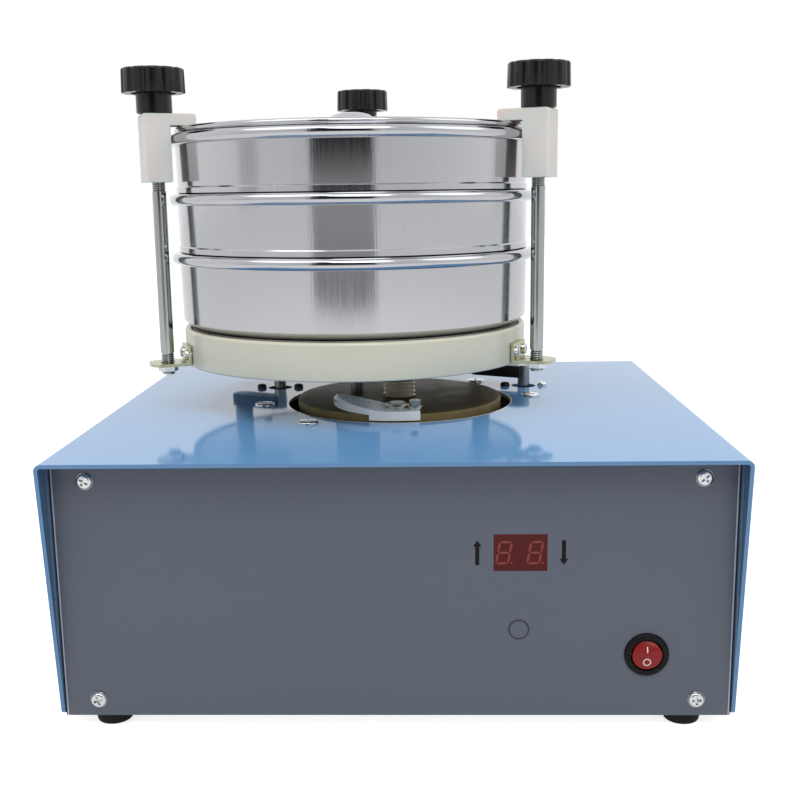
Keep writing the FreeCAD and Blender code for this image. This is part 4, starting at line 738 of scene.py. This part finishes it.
low, high, edge = levels("drive_spindle")
spindle = threaded_bar(high - 16, high, SPINDLE_RADIUS, SPINDLE_PITCH, drive,
                       plain=[(low, high - 15.5)], steps=40)
add_piece("fine_drive_spindle", spindle, "drive_spindle", dark_thread, stands_for=True, smooth=40)

# %% [markdown]
# ## Cross-head screws
# A recess is a real hollow in the head. A plus-shaped loop and a circle are bridged to
# make the top of the head, the plus is pushed down to make the hollow, and the circle is
# carried outwards and down to make the rounded edge.

# %% Build one cross-head screw
def screw_head(radius, height, arm, width, deep, shank, length, dome=0.5, washer=0.0):
    """A screw that points down, with its seat at the origin. Sizes in millimetres."""
    work = bmesh.new()
    half = width / 2
    plus = [(arm, -half), (arm, half), (half, half), (half, arm), (-half, arm), (-half, half),
            (-arm, half), (-arm, -half), (-half, -half), (-half, -arm), (half, -arm), (half, -half)]
    inner = [work.verts.new((x * MM, y * MM, height * MM)) for x, y in plus]
    inner_rim = [work.edges.new((inner[i - 1], inner[i])) for i in range(12)]
    crown = bmesh.ops.create_circle(work, cap_ends=False, segments=36, radius=radius * (1 - dome * 0.5) * MM)
    bmesh.ops.translate(work, verts=crown["verts"], vec=(0, 0, height * MM))
    circle = list({e for v in crown["verts"] for e in v.link_edges})
    bmesh.ops.bridge_loops(work, edges=inner_rim + circle)
    floor = bmesh.ops.extrude_edge_only(work, edges=inner_rim)["geom"]
    sunk = [g for g in floor if isinstance(g, bmesh.types.BMVert)]
    bmesh.ops.translate(work, verts=sunk, vec=(0, 0, -deep * MM))
    bmesh.ops.scale(work, verts=sunk, vec=(0.75, 0.75, 1))
    bmesh.ops.edgeloop_fill(work, edges=[g for g in floor if isinstance(g, bmesh.types.BMEdge)
                                         and all(v in sunk for v in g.verts)])
    loop = circle
    start = radius * (1 - dome * 0.5)
    for share in (0.35, 0.65, 0.88, 1.0):
        out = start + (radius - start) * math.sin(share * math.pi / 2)
        down = height * (1 - 0.65 * (1 - math.cos(share * math.pi / 2)))
        loop = grow(work, loop, out, down)
    loop = grow(work, loop, radius, 0)
    if washer > 0:
        for out, level in ((radius + washer, 0.5), (radius + washer, 0)):
            loop = grow(work, loop, out, level)
    loop = grow(work, loop, shank, 0)
    loop = grow(work, loop, shank, -length)
    bmesh.ops.edgeloop_fill(work, edges=loop)
    return work


def grow(work, loop, radius, level):
    """Extrudes a round edge loop to a new radius and height."""
    made = bmesh.ops.extrude_edge_only(work, edges=loop)["geom"]
    verts = [g for g in made if isinstance(g, bmesh.types.BMVert)]
    for vert in verts:
        flat = Vector((vert.co.x, vert.co.y, 0)).normalized() * radius * MM
        vert.co = Vector((flat.x, flat.y, level * MM))
    return [g for g in made if isinstance(g, bmesh.types.BMEdge) and all(v in verts for v in g.verts)]


def place_screws(name, node, finish, places, head, spin=0, stands_for=True):
    """Copies of one head, each at a point and turned to face a direction."""
    work = bmesh.new()
    for index, (point, facing) in enumerate(places):
        copy = screw_head(**head)
        turn = Vector((0, 0, 1)).rotation_difference(Vector(facing)).to_matrix().to_4x4()
        own = Matrix.Rotation(math.radians(spin + 37 * index), 4, "Z")
        bmesh.ops.transform(copy, matrix=Matrix.Translation(point) @ turn @ own, verts=copy.verts)
        merge_into(work, copy)
    return add_piece(name, work, node, finish, stands_for=stands_for, smooth=35)


# %% [markdown]
# ## Where the screws sit
# Four pan-head screws with washers hold each panel, two more each side of the cover.
# Four small domed screws hold the crank bearings, one of them bright, and four large
# flat ones hold the motor bridge.

# %% Place the screws
low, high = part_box("front_panel")
front, back = low.y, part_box("rear_panel")[1].y
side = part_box("top_cover")[1].x
PANEL_ACROSS, PANEL_LEVELS = 0.155, (0.015, 0.1328)
SIDE_ALONG, SIDE_LEVEL = 0.09, 0.018
panel_places = []
for facing, plane in (((0, -1, 0), front), ((0, 1, 0), back)):
    for x in (-PANEL_ACROSS, PANEL_ACROSS):
        for z in PANEL_LEVELS:
            panel_places.append((Vector((x, plane, z)), facing))
for facing, plane in (((-1, 0, 0), -side), ((1, 0, 0), side)):
    for y in (-SIDE_ALONG, SIDE_ALONG):
        panel_places.append((Vector((plane, y, SIDE_LEVEL)), facing))
pan_head = dict(radius=4.0, height=2.3, arm=2.4, width=1.3, deep=1.6, shank=2, length=8.9,
                dome=0.7, washer=0.5)
place_screws("fine_box_screws", "box_screws", bright_screw, panel_places, pan_head, spin=20)

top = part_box("top_cover")[1].z
crank_y = middle_of("bearing_screws").y
dome_head = dict(radius=3.1, height=2.5, arm=1.3, width=0.7, deep=0.8, shank=2, length=9, dome=0.9)
DOME_NEAR, DOME_FAR = 0.0694, 0.0942
dome_places = [(Vector((x, crank_y, top)), (0, 0, 1)) for x in (-DOME_FAR, -DOME_NEAR, DOME_NEAR, DOME_FAR)]
place_screws("fine_bearing_screws", "bearing_screws", finishes["black_steel"], dome_places[:3], dome_head)
place_screws("bright_bearing_screw", "bearing_screws", bright_screw, dome_places[3:], dome_head,
             stands_for=False)

BRIDGE_REACH, BRIDGE_HALF = 0.0779, 0.032
bridge_places = []
turn = math.radians(30.85)
for along, across in ((-1, -1), (1, -1), (1, 1), (-1, 1)):
    x = BRIDGE_REACH * math.cos(turn) * along - BRIDGE_HALF * math.sin(turn) * across
    y = BRIDGE_REACH * math.sin(turn) * along + BRIDGE_HALF * math.cos(turn) * across
    bridge_places.append((Vector((x + drive.x, y + drive.y, top)), (0, 0, 1)))
flat_head = dict(radius=5.9, height=1.3, arm=2.8, width=1.1, deep=1.1, shank=3, length=22.9, dome=0.35)
place_screws("fine_bridge_screws", "bridge_screws", bright_screw, bridge_places, flat_head, spin=10)

RING_RADIUS, BRACKET_GAP, BRACKET_SHEET = 106.4, 0.3, 1.8
BRACKET_SPREAD, BRACKET_LEVEL = 7.5, 0.1799
reach = RING_RADIUS + BRACKET_GAP + BRACKET_SHEET
bracket_places = []
for angle in clamp_angles.values():
    a = math.radians(angle)
    for sideways in (-BRACKET_SPREAD, BRACKET_SPREAD):
        point = Vector((stack.x + (reach * math.cos(a) - sideways * math.sin(a)) * MM,
                        stack.y + (reach * math.sin(a) + sideways * math.cos(a)) * MM, BRACKET_LEVEL))
        bracket_places.append((point, (math.cos(a), math.sin(a), 0)))
small_head = dict(radius=3.3, height=1.95, arm=1.6, width=0.75, deep=0.9, shank=1.7, length=4, dome=0.7)
place_screws("fine_bracket_screws", "bracket_screws", bright_screw, bracket_places, small_head, spin=15)

# %% [markdown]
# ## The unlit digits
# Behind the red window sit two seven-segment digits that lean a little, each with a
# point. Unlit, they show as slightly paler red. Each bar is a stretched hexagon, a hair
# proud of the window.

# %% Model the digits
digit_finish = even_finish("unlit_segments", (122, 38, 34), 0.35, shift=0.2, patch=300, grain=0.05)
window_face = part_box("display_window")[0].y
DIGIT_CENTRES, DIGIT_LEVEL = (56.0, 71.7), 94.2
BAR_WIDTH, LEAN = 1.35, 0.17
QUARTER_TURN = Matrix.Rotation(math.pi / 2, 3, "X")
digits = bmesh.new()


def add_bar(work, x, z, length, width, upright):
    made = bmesh.ops.create_circle(work, cap_ends=True, segments=6, radius=0.5)["verts"]
    size = (length, width, 1) if not upright else (width, length, 1)
    if upright:
        bmesh.ops.rotate(work, verts=made, cent=(0, 0, 0), matrix=Matrix.Rotation(math.pi / 2, 3, "Z"))
    bmesh.ops.scale(work, verts=made, vec=size)
    bmesh.ops.translate(work, verts=made, vec=(x, z, 0))
    return made


for centre_x in DIGIT_CENTRES:
    parts = []
    for z in (-5.6, 0, 5.6):
        parts += add_bar(digits, 0, z, 5.9, BAR_WIDTH, False)
    for x in (-3.0, 3.0):
        for z in (-2.8, 2.8):
            parts += add_bar(digits, x, z, 5.5, BAR_WIDTH, True)
    parts += add_bar(digits, 4.8, -5.5, 1.2, 1.2, False)
    lean = Matrix(((1, LEAN, 0), (0, 1, 0), (0, 0, 1))).to_4x4()
    bmesh.ops.transform(digits, matrix=lean, verts=parts)
    bmesh.ops.translate(digits, verts=parts, vec=(centre_x, DIGIT_LEVEL, 0))
bmesh.ops.scale(digits, verts=digits.verts, vec=(MM, MM, MM))
bmesh.ops.rotate(digits, verts=digits.verts, cent=(0, 0, 0), matrix=QUARTER_TURN)
bmesh.ops.translate(digits, verts=digits.verts, vec=(0, window_face - 0.00003, 0))
add_piece("display_digits", digits, "display_window", digit_finish, smooth=0)

# %% [markdown]
# ## Printed marks
# A thin dark ring is printed round the run key, and the rocker carries a bar and a
# circle. They are ink, so they are flat rings and bars a few hundredths of a millimetre
# above the surface.

# %% Print the ring and the rocker's marks
ink = even_finish("dark_ink", (28, 32, 48), 0.4, shift=0.15, patch=200, grain=0.05)


def flat_ring(outer, inner, segments=72):
    work = bmesh.new()
    rim = bmesh.ops.create_circle(work, cap_ends=False, segments=segments, radius=outer * MM)["verts"]
    hole = bmesh.ops.create_circle(work, cap_ends=False, segments=segments, radius=inner * MM)["verts"]
    edges = list({e for v in rim + hole for e in v.link_edges})
    bmesh.ops.bridge_loops(work, edges=edges)
    return work


def stand_up(work, x, y, z):
    bmesh.ops.rotate(work, verts=work.verts, cent=(0, 0, 0), matrix=QUARTER_TURN)
    bmesh.ops.translate(work, verts=work.verts, vec=(x, y, z))
    return work


run = middle_of("run_key")
run_ring = stand_up(flat_ring(5.3, 4.55), run.x, front - 0.00035, run.z)
add_piece("run_key_ring", run_ring, "front_panel", ink, smooth=0)


def lay_on(work, node, proud=0.04):
    """Moves each point of flat work back until it lies just proud of a solid's front."""
    data = frame["nodes"][node].data
    surface = BVHTree.FromPolygons([v.co for v in data.vertices], [p.vertices for p in data.polygons])
    for vert in work.verts:
        found = surface.ray_cast(Vector((vert.co.x, vert.co.y - 1, vert.co.z)), Vector((0, 1, 0)))[0]
        vert.co.y = found.y - proud * MM
    return work


white_ink = even_finish("white_ink", (236, 228, 224), 0.45, shift=0.1, patch=200, grain=0.05)
rocker = middle_of("power_rocker")
bar = bmesh.new()
bmesh.ops.create_grid(bar, x_segments=1, y_segments=6, size=0.5)
bmesh.ops.scale(bar, vec=(0.5 * MM, 2.8 * MM, 1), verts=bar.verts)
lay_on(stand_up(bar, rocker.x, rocker.y, rocker.z + 3.4 * MM), "power_rocker")
circle = lay_on(stand_up(flat_ring(2.05, 1.55), rocker.x, rocker.y, rocker.z - 3.5 * MM), "power_rocker")
merge_into(bar, circle)
add_piece("rocker_marks", bar, "power_rocker", white_ink, smooth=0)

# %% [markdown]
# ## Floor and light
# The machine stands on a plain pale floor in soft light. The sky of the scene is white
# for the camera and dimmer for the light that it gives, so colours stay as written. In
# reflections it falls off towards the viewer's side and has two soft streaks, which is
# what gives polished metal its darker bands.

# %% Floor and sky
def build_floor():
    work = bmesh.new()
    bmesh.ops.create_grid(work, x_segments=1, y_segments=1, size=6)
    mesh = mesh_from("floor", work)
    floor = into_scene("floor", mesh)
    floor.location.z = -0.0002
    material, shader = new_material("pale_floor", Roughness=0.7)
    tree = material.node_tree
    shader.inputs["Base Color"].default_value = (0.62, 0.62, 0.62, 1)
    path = add_node(tree, "ShaderNodeLightPath")
    mirrored = calculate(tree, "MAXIMUM", path.outputs["Is Glossy Ray"], path.outputs["Is Transmission Ray"])
    seen = calculate(tree, "MULTIPLY", path.outputs["Is Camera Ray"], 0.72)
    shader.inputs["Emission Color"].default_value = (1, 1, 1, 1)
    tree.links.new(calculate(tree, "MULTIPLY_ADD", mirrored, 0.48, seen), shader.inputs["Emission Strength"])
    mesh.materials.append(material)
    return floor


def build_sky():
    world = bpy.data.worlds.new("soft_sky")
    bpy.context.scene.world = world
    world.use_nodes = True
    tree = world.node_tree
    background = tree.nodes["Background"]
    way = split(tree, coordinate(tree, "Generated"))
    mirrored = map_range(tree, way["Y"], -0.9, 0.1, 0.82, 1.05)
    for side, strength in (((-0.9, -0.436), 0.3), ((0.93, 0.37), 0.2)):
        towards = calculate(tree, "ADD", calculate(tree, "MULTIPLY", way["X"], side[0]),
                            calculate(tree, "MULTIPLY", way["Y"], side[1]))
        streak = map_range(tree, towards, 0.987, 0.998, 1.0, 1 - strength)
        mirrored = calculate(tree, "MULTIPLY", mirrored, streak)
    given = map_range(tree, way["Y"], -1.0, 0.4, 0.72, 0.62)
    path = add_node(tree, "ShaderNodeLightPath")
    seen = calculate(tree, "MAXIMUM", path.outputs["Is Glossy Ray"], path.outputs["Is Transmission Ray"])
    level = calculate(tree, "ADD", calculate(tree, "MULTIPLY", seen, mirrored),
                      calculate(tree, "MULTIPLY", calculate(tree, "SUBTRACT", 1.0, seen), given))
    level = calculate(tree, "MAXIMUM", level, path.outputs["Is Camera Ray"])
    background.inputs["Color"].default_value = (1, 1, 1, 1)
    tree.links.new(level, background.inputs["Strength"])
    return world


build_floor()
build_sky()
print("floor and sky ready")

# %% [markdown]
# ## Lamps
# Three round lamps stand high on the left, on the right and in front. A wide card near
# the viewer is seen only in reflections. It is nearly black above the height of the
# lower sieve and grey below, and dims again towards the floor, which puts the darker
# upright band on the sieve walls.

# %% Lamps and a dark card
def add_lamp(name, place, target, size, power):
    data = bpy.data.lights.new(name, "AREA")
    data.shape = "DISK"
    data.size = size
    data.energy = power
    lamp = into_scene(name, data)
    lamp.location = place
    lamp.rotation_euler = (Vector(target) - Vector(place)).to_track_quat("-Z", "Y").to_euler()
    return lamp


add_lamp("high_left", (-0.9, -0.7, 1.7), (0, 0, 0.15), 1.4, 7)
add_lamp("high_right", (1.3, -0.3, 1.3), (0, 0, 0.2), 1.2, 4)
add_lamp("high_front", (0.15, -1.2, 1.5), (0, 0, 0.15), 1.0, 10)


def add_card(name, place, width, height, upper, lower):
    work = bmesh.new()
    bmesh.ops.create_grid(work, x_segments=1, y_segments=1, size=0.5)
    bmesh.ops.scale(work, verts=work.verts, vec=(width, height, 1))
    bmesh.ops.rotate(work, verts=work.verts, cent=(0, 0, 0), matrix=QUARTER_TURN)
    mesh = mesh_from(name, work)
    card = into_scene(name, mesh)
    card.location = place
    material, shader = new_material(name + "_paper", Roughness=0.9, Specular_IOR_Level=0.0)
    tree = material.node_tree
    shader.inputs["Base Color"].default_value = (0, 0, 0, 1)
    shader.inputs["Emission Color"].default_value = (1, 1, 1, 1)
    raised = split(tree, add_node(tree, "ShaderNodeNewGeometry").outputs["Position"])["Z"]
    level = map_range(tree, raised, 0.2, 0.29, lower, upper)
    low_down = map_range(tree, raised, 0.0, 0.16, 0.62, 1.0)
    tree.links.new(calculate(tree, "MULTIPLY", level, low_down), shader.inputs["Emission Strength"])
    mesh.materials.append(material)
    card.visible_camera = False
    card.visible_diffuse = False
    card.visible_shadow = False
    card.visible_transmission = False
    return card


add_card("dark_card", (-0.1, -1.6, 0.6), 1.12, 2.2, 0.02, 0.46)
print("lamps and card ready")

# %% [markdown]
# ## Camera
# The camera looks slightly down at the front of the box and leans a touch to one side,
# as a hand-held one does. Its place and angles were worked out from the corners of the
# box and the circles of the stack.

# %% Set the camera
CAMERA_PLACE = (0.01992, -0.67145, 0.27392)
PITCH_YAW_ROLL = (10.7748, 1.6637, -0.7698)
FOCAL_PIXELS, PICTURE_PIXELS, SENSOR = 1095.26, 800, 36


def build_camera():
    pitch, yaw, roll = (math.radians(a) for a in PITCH_YAW_ROLL)
    forward = Vector((-math.sin(yaw) * math.cos(pitch), math.cos(yaw) * math.cos(pitch), -math.sin(pitch)))
    right = Vector((math.cos(yaw), math.sin(yaw), 0))
    up = right.cross(forward)
    tilted_right = right * math.cos(roll) + up * math.sin(roll)
    tilted_up = up * math.cos(roll) - right * math.sin(roll)
    data = bpy.data.cameras.new("camera")
    data.sensor_width = SENSOR
    data.lens = FOCAL_PIXELS / PICTURE_PIXELS * SENSOR
    camera = into_scene("camera", data)
    rotation = Matrix((tilted_right, tilted_up, -forward)).transposed().to_4x4()
    camera.matrix_world = Matrix.Translation(CAMERA_PLACE) @ rotation
    bpy.context.scene.camera = camera
    return camera


build_camera()
bpy.context.scene.view_settings.view_transform = "Standard"
print("lens", round(bpy.context.scene.camera.data.lens, 2), "mm")
